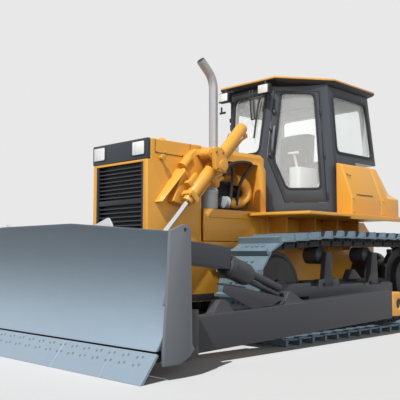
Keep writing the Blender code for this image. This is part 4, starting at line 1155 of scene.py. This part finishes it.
        hoses.piece(f"oil_hoses_{word}", RUBBER, "chassis")
        fittings = Shape(side)
        for start, end in (((0.53, 1.57, 1.55), (0.495, 1.77, 1.665)), ((0.53, 1.60, 1.53), (0.475, 1.80, 1.62))):
            fittings.turned(start, end, ((0, 0.026), (0.06, 0.026), (0.07, 0.020), (0.15, 0.020), (0.155, 0.024),
                                         (0.20, 0.024)), 12)
        fittings.turned((0.53, 1.60, 1.62), (0.53, 1.66, 1.50), ((0, 0.030), (0.05, 0.038), (0.10, 0.038),
                                                                  (0.13, 0.022)), 14)
        fittings.piece(f"hose_fittings_{word}", YELLOW, "chassis", 0.002)

    def dress(self) -> None:
        """Build both sides."""
        for side in Side:
            self.barrel(side)
            self.rod(side)
            self.yoke(side)


# ---- undercarriage ------------------------------------------------------------------------
@dataclass
class Undercarriage:
    """Tracks, their frames and what runs in them."""

    pitch: float = 0.203
    middle: float = 0.94
    shoe_half: float = 0.255
    shoe_radius: float = 0.465
    grouser: float = 0.055
    idler: tuple[float, float] = (1.98, 0.52)
    sprocket: tuple[float, float] = (4.36, 0.57)
    carriers: tuple[float, float] = (2.72, 3.58)
    rollers: tuple[float, ...] = tuple(2.42 + 0.26 * k for k in range(7))

    @staticmethod
    def tangent(first: tuple[Point, float], second: tuple[Point, float]) -> float:
        """Angle of the outward normal on the line that touches two circles."""
        (c1, r1), (c2, r2) = first, second
        span = Vector(c2) - Vector(c1)
        return math.atan2(span.y, span.x) - math.acos((r1 - r2) / span.length)

    def belt(self, lift: float = 0.0) -> list[tuple[float, float]]:
        """Stations and heights of the shoe line, moved outwards by a lift."""
        top, bend = self.sprocket[1] + self.shoe_radius, 0.16
        circles = [(self.idler, self.shoe_radius), ((4.10, self.grouser + bend), bend),
                   (self.sprocket, self.shoe_radius)]
        circles += [((s, top - bend), bend) for s in reversed(self.carriers)]
        points = []
        for i, (centre, radius) in enumerate(circles):
            start = self.tangent(circles[i - 1], (centre, radius))
            end = self.tangent((centre, radius), circles[(i + 1) % len(circles)])
            while end < start:
                end += 2 * math.pi
            steps = max(1, round((end - start) / math.radians(5)))
            for k in range(steps + 1):
                t = start + (end - start) * k / steps
                reach = radius + lift
                points.append((centre[0] + reach * math.cos(t), centre[1] + reach * math.sin(t)))
        return points

    def shoe(self) -> bpy.types.Object:
        """One track shoe: plate, grouser, overlap lip and four bolts."""
        half = self.shoe_half
        shape = Shape()
        base = MID_STATION
        plate = [(-0.096, -0.022), (-0.096, -0.004), (-0.030, 0.0), (0.078, 0.0), (0.101, -0.008), (0.103, -0.014),
                 (0.078, -0.014), (-0.060, -0.022)]
        bar = [(-0.092, -0.006), (-0.089, self.grouser), (-0.066, self.grouser), (-0.052, -0.006)]
        shape.slab_x([(s + base, z) for s, z in plate], -half, half)
        shape.slab_x([(s + base, z) for s, z in bar], -half, half)
        for x in (-0.075, -0.020, 0.020, 0.075):
            shape.turned((x * 1.3, 0.012 + base, 0.0), (x * 1.3, 0.012 + base, 0.02), ((-0.004, 0.017), (0.012, 0.017), (0.014, 0.014)), 6)
        return host_of(shape, "shoe")

    def link(self) -> bpy.types.Object:
        """One chain link: two side plates, their bushing and pin ends."""
        shape = Shape()
        base = MID_STATION
        side = [(-0.105, -0.026), (0.085, -0.026), (0.118, -0.048), (0.118, -0.092), (0.090, -0.099),
                (-0.085, -0.099), (-0.112, -0.082), (-0.112, -0.045)]
        for x in (-0.088, 0.060):
            shape.slab_x([(s + base, z) for s, z in side], x, x + 0.028)
        shape.rod((-0.092, 0.085 + base, -0.062), (0.092, 0.085 + base, -0.062), 0.024, 10)
        for x in (-0.098, 0.092):
            shape.turned((x, 0.085 + base, -0.062), (x + 0.006, 0.085 + base, -0.062), ((0, 0.016), (0.006, 0.016)), 8)
        for x in (-0.102, 0.088):
            for s in (-0.035, 0.030):
                shape.rod((x, s + base, -0.040), (x + 0.014, s + base, -0.040), 0.009, 6)
        return host_of(shape, "link")

    def loop(self, side: Side, item: bpy.types.Object, finish: Finish, name: str, nodes: Iterable[str]) -> None:
        """Run an item round the belt.

        Args:
            side: The machine's side.
            item: The object to repeat.
            finish: Its finish.
            name: The piece's name.
            nodes: CAD nodes the piece stands for.
        """
        points = self.belt()
        ends = points[1:] + points[:1]
        length = sum((Vector(b) - Vector(a)).length for a, b in zip(points, ends))
        curve = bpy.data.curves.new("belt", "CURVE")
        curve.dimensions = "3D"
        spline = curve.splines.new("POLY")
        spline.points.add(len(points) - 1)
        for spot, (s, z) in zip(spline.points, points):
            spot.co = (self.middle, s - MID_STATION, z, 1.0)
        spline.use_cyclic_u = True
        host = bpy.data.objects.new("belt", curve)
        bpy.context.scene.collection.objects.link(host)
        mesh = TREES.path.run(host, {
            "Item": item, "Count": round(length / self.pitch), "Material": finish.material()})
        finished(moved(mesh, side), name, finish, "chassis", 0.0, 2, nodes)

    def running_gear(self, side: Side) -> None:
        """Idler, sprocket teeth, rollers with flanges and the final drive cover."""
        word = side.word
        # The idler and sprocket take the enamel darkened as painted shade.
        refined(f"idler_{word}", SHADED_GEAR, "chassis", 0.006)
        refined(f"sprocket_{word}", SHADED_GEAR, "chassis", 0.006)
        refined(f"track_frame_{word}", DARK, "chassis", 0.005)
        tooth = Shape()
        outline = [(-0.030 + MID_STATION, 0.345), (-0.012 + MID_STATION, 0.398), (0.012 + MID_STATION, 0.398),
                   (0.030 + MID_STATION, 0.345)]
        tooth.slab_x(outline, -0.028, 0.028)
        teeth = TREES.ring.run(host_of(tooth), {"Count": 11, "Material": DARK.material()})
        s, z = self.sprocket
        finished(moved(teeth, side, (0.94, s - MID_STATION, z)), f"sprocket_teeth_{word}", DARK, "chassis", 0.0)
        flanges = Shape(side)
        for station in self.rollers:
            for x in (0.845, 1.020):
                flanges.rod((x, station, 0.2565), (x + 0.014, station, 0.2565), 0.118, 20)
        flanges.piece(f"roller_flanges_{word}", CHAIN, "chassis", 0.002)
        guard = Shape(side)
        guard.slab_x([(2.30, 0.30), (3.98, 0.30), (4.02, 0.27), (4.00, 0.215), (2.30, 0.215), (2.26, 0.25)], 1.062, 1.078)
        guard.piece(f"roller_guard_{word}", DARK, "chassis", 0.003)
        cover = Shape(side)
        cover.block(1.02, 1.0895, 2.55, 2.90, 0.45, 0.60)
        cover.slab_x([(3.10, 0.585), (3.17, 0.69), (3.22, 0.69), (3.36, 0.585)], 0.98, 1.07)
        cover.piece(f"frame_cover_{word}", DARK, "chassis", 0.008, 3)
        for station in (2.50, 2.62, 3.36, 3.48, 3.68):
            BOLTS.both("chassis", DARK, (1.0905, station, 0.55), (1, 0, 0), 0.030)
        for k in range(12):
            t = 2 * math.pi * k / 12
            spot = (1.1705, s + 0.225 * math.cos(t), z + 0.225 * math.sin(t))
            BOLTS.both("chassis", DARK, spot, (1, 0, 0), 0.032)

    def dress(self) -> None:
        """Build both tracks and their running gear."""
        shoe, link = self.shoe(), self.link()
        for side in Side:
            self.loop(side, shoe, TRACK, f"shoes_{side.word}", (f"track_{side.word}",))
            self.loop(side, link, CHAIN, f"chain_{side.word}", ())
            self.running_gear(side)
        for item in (shoe, link):
            bpy.data.objects.remove(item)


# ---- hull and nose ------------------------------------------------------------------------
@dataclass
class Nose:
    """Radiator guard, grille, lamps, hood and engine bay."""

    half: float = 0.4174
    front: float = 0.862
    hood_top: float = 1.9187

    def grille(self) -> None:
        """The grille: a frame, its louvres and the plain band."""
        frame_shape = Shape()
        for x0, x1, z0, z1 in ((-0.392, -0.330, 0.86, 1.728), (0.330, 0.392, 0.86, 1.728), (-0.33, 0.33, 0.86, 0.885),
                               (-0.33, 0.33, 1.700, 1.728), (-0.33, 0.33, 1.315, 1.365)):
            frame_shape.block(x0, x1, 0.869 if x1 - x0 > 0.1 else 0.864, 0.93, z0, z1)
        frame_shape.piece("grille_frame", GRILLE, "chassis", 0.004, 2, ("grille",))
        back = Shape().block(-0.33, 0.33, 0.922, 0.9295, 0.885, 1.70)
        back.piece("grille_back", BLACK, "chassis")
        for name, low, count in (("upper", 1.385, 8), ("lower", 0.905, 10)):
            slat = Shape()
            slat.slab_x([(0.872, low), (0.878, low + 0.012), (0.906, low + 0.020), (0.910, low + 0.015),
                         (0.882, low - 0.003), (0.876, low - 0.004)], -0.33, 0.33)
            mesh = TREES.row.run(host_of(slat), {"Count": count, "Step": (0.0, 0.0, 0.0385 if name == "upper" else 0.0415),
                                                 "Material": GRILLE.material()})
            finished(mesh, f"grille_slats_{name}", GRILLE, "chassis", 0.0015)

    def header(self) -> None:
        """The header panel and its two square lamps."""
        refined("header_panel", CAB, "chassis", 0.012, 3)
        for side in Side:
            lamp = Shape(side)
            lamp.block(0.208, 0.392, 0.852, 0.870, 1.757, 1.898)
            lamp.piece(f"lamp_rim_{side.word}", CAB, "chassis", 0.006)
            lens = Shape(side)
            lens.slab_y(rounded([(0.217, 1.766), (0.383, 1.766), (0.383, 1.889), (0.217, 1.889)], 0.012, 3), 0.846, 0.854)
            lens.piece(f"lamp_lens_{side.word}", LENS, "chassis", 0.002)

    def shell(self) -> None:
        """Radiator guard, hood and side panels with seams, latches and bolts."""
        refined("radiator_guard", YELLOW, "chassis", 0.020, 4)
        refined("hood", YELLOW, "chassis", 0.008, 3)
        for side in Side:
            word = side.word
            refined(f"engine_side_panel_{word}", YELLOW, "chassis", 0.006)
            seam = Shape(side)
            seam.bar([(0.4180, 0.952, 1.790), (0.4180, 1.527, 1.778)], 0.0028)
            seam.bar([(0.4180, 0.955, 1.792), (0.4180, 0.955, 1.915)], 0.0018, up=(1, 0, 0))
            seam.bar([(0.4180, 1.40, 1.782), (0.4180, 1.40, 1.915)], 0.0018, up=(1, 0, 0))
            seam.piece(f"hood_seam_{word}", BLACK, "chassis")
            latch = Shape(side)
            latch.turned((0.417, 1.02, 1.745), (0.47, 1.02, 1.745), ((0, 0.016), (0.03, 0.016), (0.033, 0.030), (0.05, 0.030)), 20)
            latch.piece(f"latch_{word}", YELLOW, "chassis", 0.002)
            plate = Shape(side)
            plate.block(0.4505, 0.462, 1.63, 2.16, 1.212, 1.226)
            plate.block(0.4505, 0.462, 2.26, 2.36, 1.204, 1.218)
            plate.piece(f"panel_ribs_{word}", YELLOW, "chassis", 0.003)
        for station in (0.97, 1.08, 1.30, 1.44):
            BOLTS.both("chassis", YELLOW, (0.4178, station, 1.802), (1, 0, 0), 0.020)
        BOLTS.both("chassis", YELLOW, (0.4178, 1.50, 1.84), (1, 0, 0), 0.018)

    def engine_bay(self) -> None:
        """The engine block, filter, ducts, hoses and clamps under the hood."""
        refined("engine_block", BLACK, "chassis", 0.02, 3)
        filt = Shape()
        filt.turned((0.31, 1.76, 1.30), (0.31, 1.76, 1.60), (
            (0, 0.095), (0.16, 0.095), (0.17, 0.100), (0.19, 0.100), (0.20, 0.092), (0.26, 0.07), (0.262, 0.03)), 36)
        filt.piece("filter_can", CAST, "chassis", 0.003, 2, ("fuel_filter",))
        duct = Shape()
        duct.pipe([(0.31, 1.99, 1.385), (0.31, 2.14, 1.38), (0.31, 2.28, 1.40), (0.31, 2.34, 1.47), (0.31, 2.33, 1.56),
                   (0.31, 2.27, 1.62), (0.31, 2.14, 1.63)], 0.058, 24, 3)
        duct.piece("charge_duct", YELLOW, "chassis", 0.0, 2, ("turbo_duct",))
        clamps = Shape()
        clamps.turned((0.31, 1.96, 1.385), (0.31, 2.10, 1.383), ((0, 0.064), (0.02, 0.064), (0.02, 0.060), (0.05, 0.060),
                                                                  (0.05, 0.066), (0.07, 0.066)), 28)
        clamps.turned((0.31, 2.14, 1.38), (0.31, 2.16, 1.38), ((0, 0.063), (0.012, 0.063)), 28)
        clamps.piece("duct_clamps", CAST, "chassis", 0.002)
        head = Shape()
        for k in range(4):
            head.block(-0.22, 0.14, 1.66 + 0.165 * k, 1.80 + 0.165 * k, 1.62, 1.70)
        head.piece("rocker_covers", YELLOW, "chassis", 0.012, 3)
        lines = Shape()
        lines.pipe([(0.22, 1.70, 1.55), (0.30, 1.84, 1.62), (0.34, 2.02, 1.58), (0.30, 2.20, 1.50)], 0.010, 8, 2)
        lines.pipe([(0.24, 1.90, 1.20), (0.38, 2.00, 1.26), (0.40, 2.20, 1.30), (0.34, 2.36, 1.45)], 0.012, 8, 2)
        lines.piece("fuel_lines", RUBBER, "chassis")

    def exhaust(self) -> None:
        """The bright exhaust with its flange; its mouth is closed flat, with a black disc that paints the shade inside
        the bore.
        """
        path = [(-0.13, 2.28, self.hood_top + 0.0003), (-0.13, 2.28, 2.705)]
        for k in range(1, 13):
            t = math.radians(4 * k)
            path.append((-0.13, 2.28 - 0.24 * (1 - math.cos(t)), 2.705 + 0.24 * math.sin(t)))
        turn = math.radians(48)
        path.append((-0.13, path[-1][1] - math.sin(turn) * 0.16, path[-1][2] + math.cos(turn) * 0.16))
        Shape().pipe(path, 0.0495, 32).piece("exhaust_tube", BRIGHT, "chassis", 0.0, 2, ("exhaust_pipe",))
        mouth = Vector(path[-1])
        along = Vector((0, -math.sin(turn), math.cos(turn)))
        # Painted shade: a black disc just inside the mouth stands in for the dark of the open bore.
        dark = Shape().turned(mouth - along * 0.02, mouth + along * 0.002, ((0, 0.043), (0.0225, 0.043)), 28)
        dark.piece("exhaust_mouth", BLACK, "chassis")
        collar = Shape().turned((-0.13, 2.28, self.hood_top), (-0.13, 2.28, 2.0), ((0, 0.075), (0.012, 0.075),
                                                                                     (0.014, 0.056), (0.05, 0.056)), 28)
        collar.piece("exhaust_collar", DARK, "chassis", 0.002)

    def dress(self) -> None:
        """Build the group."""
        self.grille()
        self.header()
        self.shell()
        self.engine_bay()
        self.exhaust()


@dataclass
class Hull:
    """Hull, deck, tank and side boxes."""

    def dress(self) -> None:
        """Build the group."""
        refined("hull", YELLOW, "chassis", 0.012, 3)
        refined("drawbar", DARK, "chassis", 0.004)
        refined("platform", YELLOW, "chassis", 0.004)
        refined("fuel_tank", YELLOW, "chassis", 0.016, 4)
        belly = Shape()
        belly.slab_x([(1.255, 0.405), (4.38, 0.395), (4.60, 0.497), (4.60, 0.505), (1.255, 0.47)], -0.4515, 0.4515)
        belly.piece("belly_guard", HULL_BLACK, "chassis", 0.004)
        for side in Side:
            word = side.word
            refined(f"side_box_{word}", YELLOW, "chassis", 0.014, 4)
            trim = Shape(side)
            trim.bar([(1.0612, 3.30, 1.50), (1.0612, 3.62, 1.50)], 0.003)
            trim.pipe([(0.975, 3.235, 1.735), (0.995, 3.235, 1.715), (0.995, 3.285, 1.712), (0.975, 3.30, 1.705)], 0.004, 8)
            trim.piece(f"box_lid_seam_{word}", HULL_BLACK, "chassis")
        for x, z in ((1.061, 1.31), (1.061, 1.46)):
            for station in (3.23, 3.76, 3.84):
                BOLTS.both("chassis", YELLOW, (x, station, z), (1, 0, 0), 0.022)
        cap = Shape().turned((0.35, 3.98, 1.80), (0.35, 4.0, 1.90), ((-0.02, 0.055), (0.05, 0.055), (0.06, 0.045)), 28)
        cap.piece("tank_cap", YELLOW, "chassis", 0.004)


# ---- cab ----------------------------------------------------------------------------------
class Wall:
    """A plane wall of the left side; points on it are (distance along, height)."""

    high = Vector((0.74, 3.24, 2.72))
    low = Vector((0.81, 3.31, 1.35))

    def __init__(self, third: Point) -> None:
        """Set the plane through the cab's joint line and a third point."""
        third = Vector(third)
        self.normal = (self.low - self.high).cross(third - self.high).normalized()
        if self.normal.x < 0:
            self.normal.negate()
        along = Vector((-self.normal.y, self.normal.x, 0)).normalized()
        self.along = along if along.dot(third - self.high) > 0 else -along

    def point(self, distance: float, height: float, proud: float = 0.0) -> Vector:
        """A point in the wall, or proud of it along its normal."""
        t = (height - self.high.z) / (self.low.z - self.high.z)
        return self.high.lerp(self.low, t) + self.along * distance + self.normal * proud

    def plate(self, shape: Shape, outline: Outline, inner: float, outer: float) -> None:
        """Add a plate along the wall between two distances from its face."""
        shape.loft([[self.point(s, z, w) for s, z in outline] for w in (inner, outer)])

    def ring(self, shape: Shape, outline: Outline, width: float, inner: float, outer: float) -> None:
        """Add a flat ring along an outline, width wide, between two distances from the wall's face."""
        edge = grown(outline, width)
        rings = []
        for w, line in ((inner, outline), (outer, outline), (outer, edge), (inner, edge)):
            rings.append([self.point(s, z, w) for s, z in line])
        shape.loft([list(column) for column in zip(*rings)], closed=True)


@dataclass
class Cab:
    """The cab with its doors, glass, roof, lamps, wipers and room."""

    door_outline: tuple = ((0.105, 2.68), (0.60, 2.68), (0.70, 2.20), (0.745, 1.93), (0.59, 1.43), (0.12, 1.43))
    door_window: tuple = ((0.160, 2.66), (0.525, 2.665), (0.618, 2.167), (0.670, 1.907), (0.555, 1.585), (0.180, 1.59))
    side_window: tuple = ((0.09, 2.645), (0.795, 2.645), (0.845, 2.01), (0.085, 2.01))
    windshield: tuple = ((-0.235, 2.66), (0.235, 2.66), (0.20, 1.99), (-0.20, 1.99))
    rear_window: tuple = ((-0.60, 2.62), (0.60, 2.62), (0.62, 2.05), (-0.62, 2.05))
    door_wall: Wall = field(default_factory=lambda: Wall((0.31, 2.77, 2.75)))
    side_wall: Wall = field(default_factory=lambda: Wall((0.71, 4.105, 2.76)))

    @staticmethod
    def front_at(height: float) -> float:
        """Station of the windshield's wall at a height."""
        return 2.66 + (height - 1.92) * 0.11 / 0.83

    @staticmethod
    def rear_at(height: float) -> float:
        """Station of the rear wall at a height."""
        return 4.20 - (height - 1.924) * 0.095 / 0.836

    def shell(self) -> None:
        """The frame of the cab, its roof, and a black band under the roof's rim whose black is painted shade."""
        refined("cab_frame", CAB, "chassis", 0.006, 2)
        refined("cab_roof", YELLOW, "chassis", 0.006, 2)
        # Painted shade: the black soffit under the roof's rim stands in for the shade that the overhang casts on the
        # cab's top.
        half = [(0.42, 2.705), (0.80, 3.28), (0.76, 4.19)]
        outline = half + [(-x, y) for x, y in reversed(half)]
        rings = []
        for inset, height in ((0.060, 2.750), (0.012, 2.778), (-0.003, 2.800), (-0.003, 2.8075)):
            rings.append([(x, s, height) for x, s in grown(outline, -inset)])
        Shape().loft(rings).piece("roof_lining", BLACK, "chassis", 0.002)

    def seals(self) -> None:
        """Black rubber round each window."""
        for side in Side:
            word = side.word
            seal = Shape(side)
            self.side_wall.ring(seal, grown(rounded(self.side_window, 0.06), -0.004), 0.030, -0.015, 0.006)
            seal.piece(f"side_seal_{word}", RUBBER, "chassis", 0.003)
            seal = Shape(side)
            self.door_wall.ring(seal, grown(rounded(self.door_window, 0.05), -0.004), 0.024, -0.012, 0.006)
            seal.piece(f"door_seal_{word}", RUBBER, f"door_{word}", 0.003)
        for name, outline, at, sign in (("windshield", self.windshield, self.front_at, -1.0),
                                        ("rear", self.rear_window, self.rear_at, 1.0)):
            inner = grown(rounded(outline, 0.07), -0.004)
            outer = grown(inner, 0.028)
            seal = Shape()
            rings = []
            for w, line in ((-0.015, inner), (0.006, inner), (0.006, outer), (-0.015, outer)):
                rings.append([(x, at(z) + sign * w, z) for x, z in line])
            seal.loft([list(column) for column in zip(*rings)], closed=True)
            seal.piece(f"{name}_seal", RUBBER, "chassis", 0.003)

    def doors(self) -> None:
        """Doors with hinges, handles and latches, and all the glass."""
        for side in Side:
            word = side.word
            refined(f"cab_door_{word}", CAB, f"door_{word}", 0.004)
            dress(f"door_glass_{word}", GLASS)
            dress(f"side_window_{word}", GLASS)
            handle = Shape(side)
            points = [self.door_wall.point(0.640, 2.28, 0.012), self.door_wall.point(0.655, 2.24, 0.045),
                      self.door_wall.point(0.690, 2.03, 0.045), self.door_wall.point(0.690, 1.99, 0.012)]
            handle.pipe(points, 0.014, 12, 2)
            handle.piece(f"door_handle_{word}", PLATE, f"door_{word}")
            latches = Shape(side)
            for along, height in ((0.625, 2.44), (0.672, 2.245), (0.708, 1.955)):
                spot = self.door_wall.point(along, height)
                latches.turned(spot, spot + self.door_wall.normal, ((-0.004, 0.026), (0.016, 0.026), (0.020, 0.020)), 16)
            latches.piece(f"door_latches_{word}", BLACK, f"door_{word}")
            hinge = Shape(side)
            for z in (2.45, 1.96, 1.50):
                low, high = self.door_wall.point(0.105, z - 0.035, 0.010), self.door_wall.point(0.105, z + 0.035, 0.010)
                hinge.rod(low, high, 0.011, 14)
            hinge.piece(f"door_hinges_{word}", CAB, f"door_{word}", 0.002)
        dress("windshield", GLASS)
        dress("rear_window", GLASS)

    def fittings(self) -> None:
        """Work lamps, wipers, the visor and the mirror bracket."""
        for side in Side:
            word = side.word
            x0, x1, y = 0.225, 0.385, 2.625
            rim = Shape(side).block(x0, x1, y, y + 0.07, 2.630, 2.745)
            rim.piece(f"work_lamp_{word}", BLACK, "chassis", 0.010, 3)
            lens = Shape(side).slab_y(rounded([(x0 + 0.012, 2.642), (x1 - 0.012, 2.642), (x1 - 0.012, 2.733),
                                                (x0 + 0.012, 2.733)], 0.01, 3), y - 0.006, y + 0.003)
            lens.piece(f"work_lens_{word}", LENS, "chassis", 0.002)
            stem = Shape(side).rod(((x0 + x1) / 2, y + 0.04, 2.74), ((x0 + x1) / 2, y + 0.05, 2.79), 0.012, 12)
            stem.piece(f"work_lamp_stem_{word}", BLACK, "chassis")
        wiper = Shape()
        for dx in (0.0, 0.045):
            wiper.rod((0.03 + dx, self.front_at(2.73) - 0.055, 2.73), (0.075 + dx, self.front_at(2.38) - 0.030, 2.38),
                      0.008, 8)
        wiper.rod((0.075, self.front_at(2.38) - 0.030, 2.38), (0.155, self.front_at(2.385) - 0.030, 2.385), 0.009, 8)
        wiper.pipe([(0.175, self.front_at(2.64) - 0.022, 2.64), (0.150, self.front_at(2.50) - 0.026, 2.50),
                    (0.145, self.front_at(2.36) - 0.024, 2.36), (0.125, self.front_at(2.16) - 0.016, 2.16)], 0.011, 8, 1)
        wiper.piece("windshield_wiper", BLACK, "chassis", 0.002)
        visor = Shape().slab_y([(-0.225, 2.66), (-0.02, 2.66), (-0.045, 2.52), (-0.215, 2.50)], 2.80, 2.82)
        visor.slab_y([(-0.42, 2.60), (-0.40, 2.60), (-0.40, 2.54), (-0.345, 2.54), (-0.345, 2.515), (-0.44, 2.515),
                      (-0.44, 2.54), (-0.42, 2.54)], 2.70, 2.715)
        visor.piece("visor_and_bracket", BLACK, "chassis", 0.004)

    def room(self) -> None:
        """Seat, console, dash and levers."""
        refined("seat_base", BLACK, "chassis", 0.01)
        refined("side_console", TRIM, "chassis", 0.008, 3)
        refined("dash", TRIM, "chassis", 0.012, 3)
        pad = Shape()
        cushion = rounded([(3.165, 1.665), (3.60, 1.645), (3.61, 1.79), (3.165, 1.795)], 0.045, 5)
        back = rounded([(3.54, 1.80), (3.655, 1.80), (3.695, 2.315), (3.60, 2.335)], 0.04, 5)
        for outline, steps in ((cushion, 5), (back, 5)):
            rings = []
            for k in range(9):
                t = k / 8 * 2 - 1
                inset = -0.030 * abs(t) ** 4
                rings.append([(0.246 * t, s, z) for s, z in grown(outline, inset - 0.0005)])
            pad.loft(rings)
        pad_piece = pad.piece("seat_pad", SEAT, "chassis", 0.012, 3, ("seat",))
        levers = Shape()
        levers.pipe([(0.40, 3.30, 1.84), (0.40, 3.31, 1.92), (0.40, 3.31, 2.00)], 0.008, 8)
        levers.turned((0.40, 3.31, 1.99), (0.40, 3.31, 2.05), ((0, 0.010), (0.02, 0.018), (0.05, 0.014)), 12)
        levers.piece("console_lever", BLACK, "chassis")

    def dress(self) -> None:
        """Build the group."""
        self.shell()
        self.seals()
        self.doors()
        self.fittings()
        self.room()


# ---- studio -------------------------------------------------------------------------------
@dataclass
class Studio:
    """Floor, light and camera."""

    pale: float = 0.807
    floor_seen: float = 0.645
    # Painted brightness: the surround seen through glass is brighter than the backdrop, so the panes read as washed
    # with light.
    through: float = 1.12
    floor_bounce: float = 0.22
    horizon: float = 0.42
    zenith: float = 0.07
    key: tuple[Point, float, float] = ((0.28, -0.72, 1.0), 4.1, 0.8)
    fill: tuple[Point, float, float] = ((0.90, -0.32, 0.15), 0.95, 50.0)

    def floor(self) -> None:
        """A pale floor that keeps the shadow and throws little light back up."""
        bm = bmesh.new()
        bmesh.ops.create_grid(bm, x_segments=1, y_segments=1, size=400.0)
        mesh = bpy.data.meshes.new("floor")
        bm.to_mesh(mesh)
        bm.free()
        item = bpy.data.objects.new("floor", mesh)
        item.location = (0, 0, -0.0005)
        bpy.context.scene.collection.objects.link(item)
        material = bpy.data.materials.new("pale_floor")
        material.use_nodes = True
        g = Graph(material.node_tree)
        shader = material.node_tree.nodes["Principled BSDF"]
        tone = g.math("ADD", self.floor_bounce, g.math("MULTIPLY", self.seen(g), self.floor_seen - self.floor_bounce))
        g.tree.links.new(tone, shader.inputs["Base Color"])
        shader.inputs["Roughness"].default_value = 0.9
        shader.inputs["Specular IOR Level"].default_value = 0.0
        item.data.materials.append(material)

    @staticmethod
    def seen(g: Graph) -> bpy.types.NodeSocket:
        """One where the camera, a mirror or glass looks, and zero for light that only lights."""
        path = g.add("ShaderNodeLightPath").outputs
        return g.math("MAXIMUM", path["Is Camera Ray"], g.math("MAXIMUM", path["Is Glossy Ray"], path["Is Transmission Ray"]))

    def world(self) -> None:
        """A surround that is brightest at the horizon, evenly pale where it is seen, and brighter through glass as
        painted brightness.
        """
        world = bpy.data.worlds.new("surround")
        bpy.context.scene.world = world
        world.use_nodes = True
        g = Graph(world.node_tree)
        back = world.node_tree.nodes["Background"]
        way = g.add("ShaderNodeSeparateXYZ", {0: g.add("ShaderNodeTexCoord").outputs["Generated"]}).outputs[2]
        falling = g.math("MULTIPLY", g.step(way, 0.0, 0.7), self.zenith - self.horizon)
        lit = g.math("ADD", falling, self.horizon)
        seen = g.mix_value(self.seen(g), lit, self.pale)
        # Painted brightness: rays that pass through glass see the surround at the stronger through-glass value.
        glazed = g.add("ShaderNodeLightPath").outputs["Is Transmission Ray"]
        g.tree.links.new(g.mix_value(glazed, seen, self.through), back.inputs["Strength"])
        back.inputs["Color"].default_value = (1, 1, 1, 1)

    def lights(self) -> None:
        """A high key light from the front and a broad, low fill from the camera's side."""
        for name, (way, energy, spread) in (("key", self.key), ("fill", self.fill)):
            light = bpy.data.lights.new(name, "SUN")
            light.energy = energy
            light.angle = math.radians(spread)
            item = bpy.data.objects.new(name, light)
            item.rotation_euler = Vector(way).to_track_quat("Z", "Y").to_euler()
            bpy.context.scene.collection.objects.link(item)

    def camera(self) -> None:
        """The camera, level with the deck and off the left front corner."""
        data = bpy.data.cameras.new("camera")
        data.lens = 61.83
        data.sensor_width = 36.0
        item = bpy.data.objects.new("camera", data)
        item.location = (5.1909, -5.4528, 0.8499)
        item.rotation_euler = (math.radians(94.5227), 0.0, 0.7955)
        bpy.context.scene.collection.objects.link(item)
        bpy.context.scene.camera = item

    def build(self) -> None:
        """Set the stage."""
        bpy.context.scene.view_settings.view_transform = "Standard"
        self.camera()
        self.floor()
        self.world()
        self.lights()


def main() -> None:
    """Build the stage and every group, then note the sizes."""
    Studio().build()
    for group in (BladeGroup(), LiftGroup(), Undercarriage(), Nose(), Hull(), Cab()):
        LOG.info("group %s", type(group).__name__)
        group.dress()
    BOLTS.build()


if __name__ == "__main__":
    main()
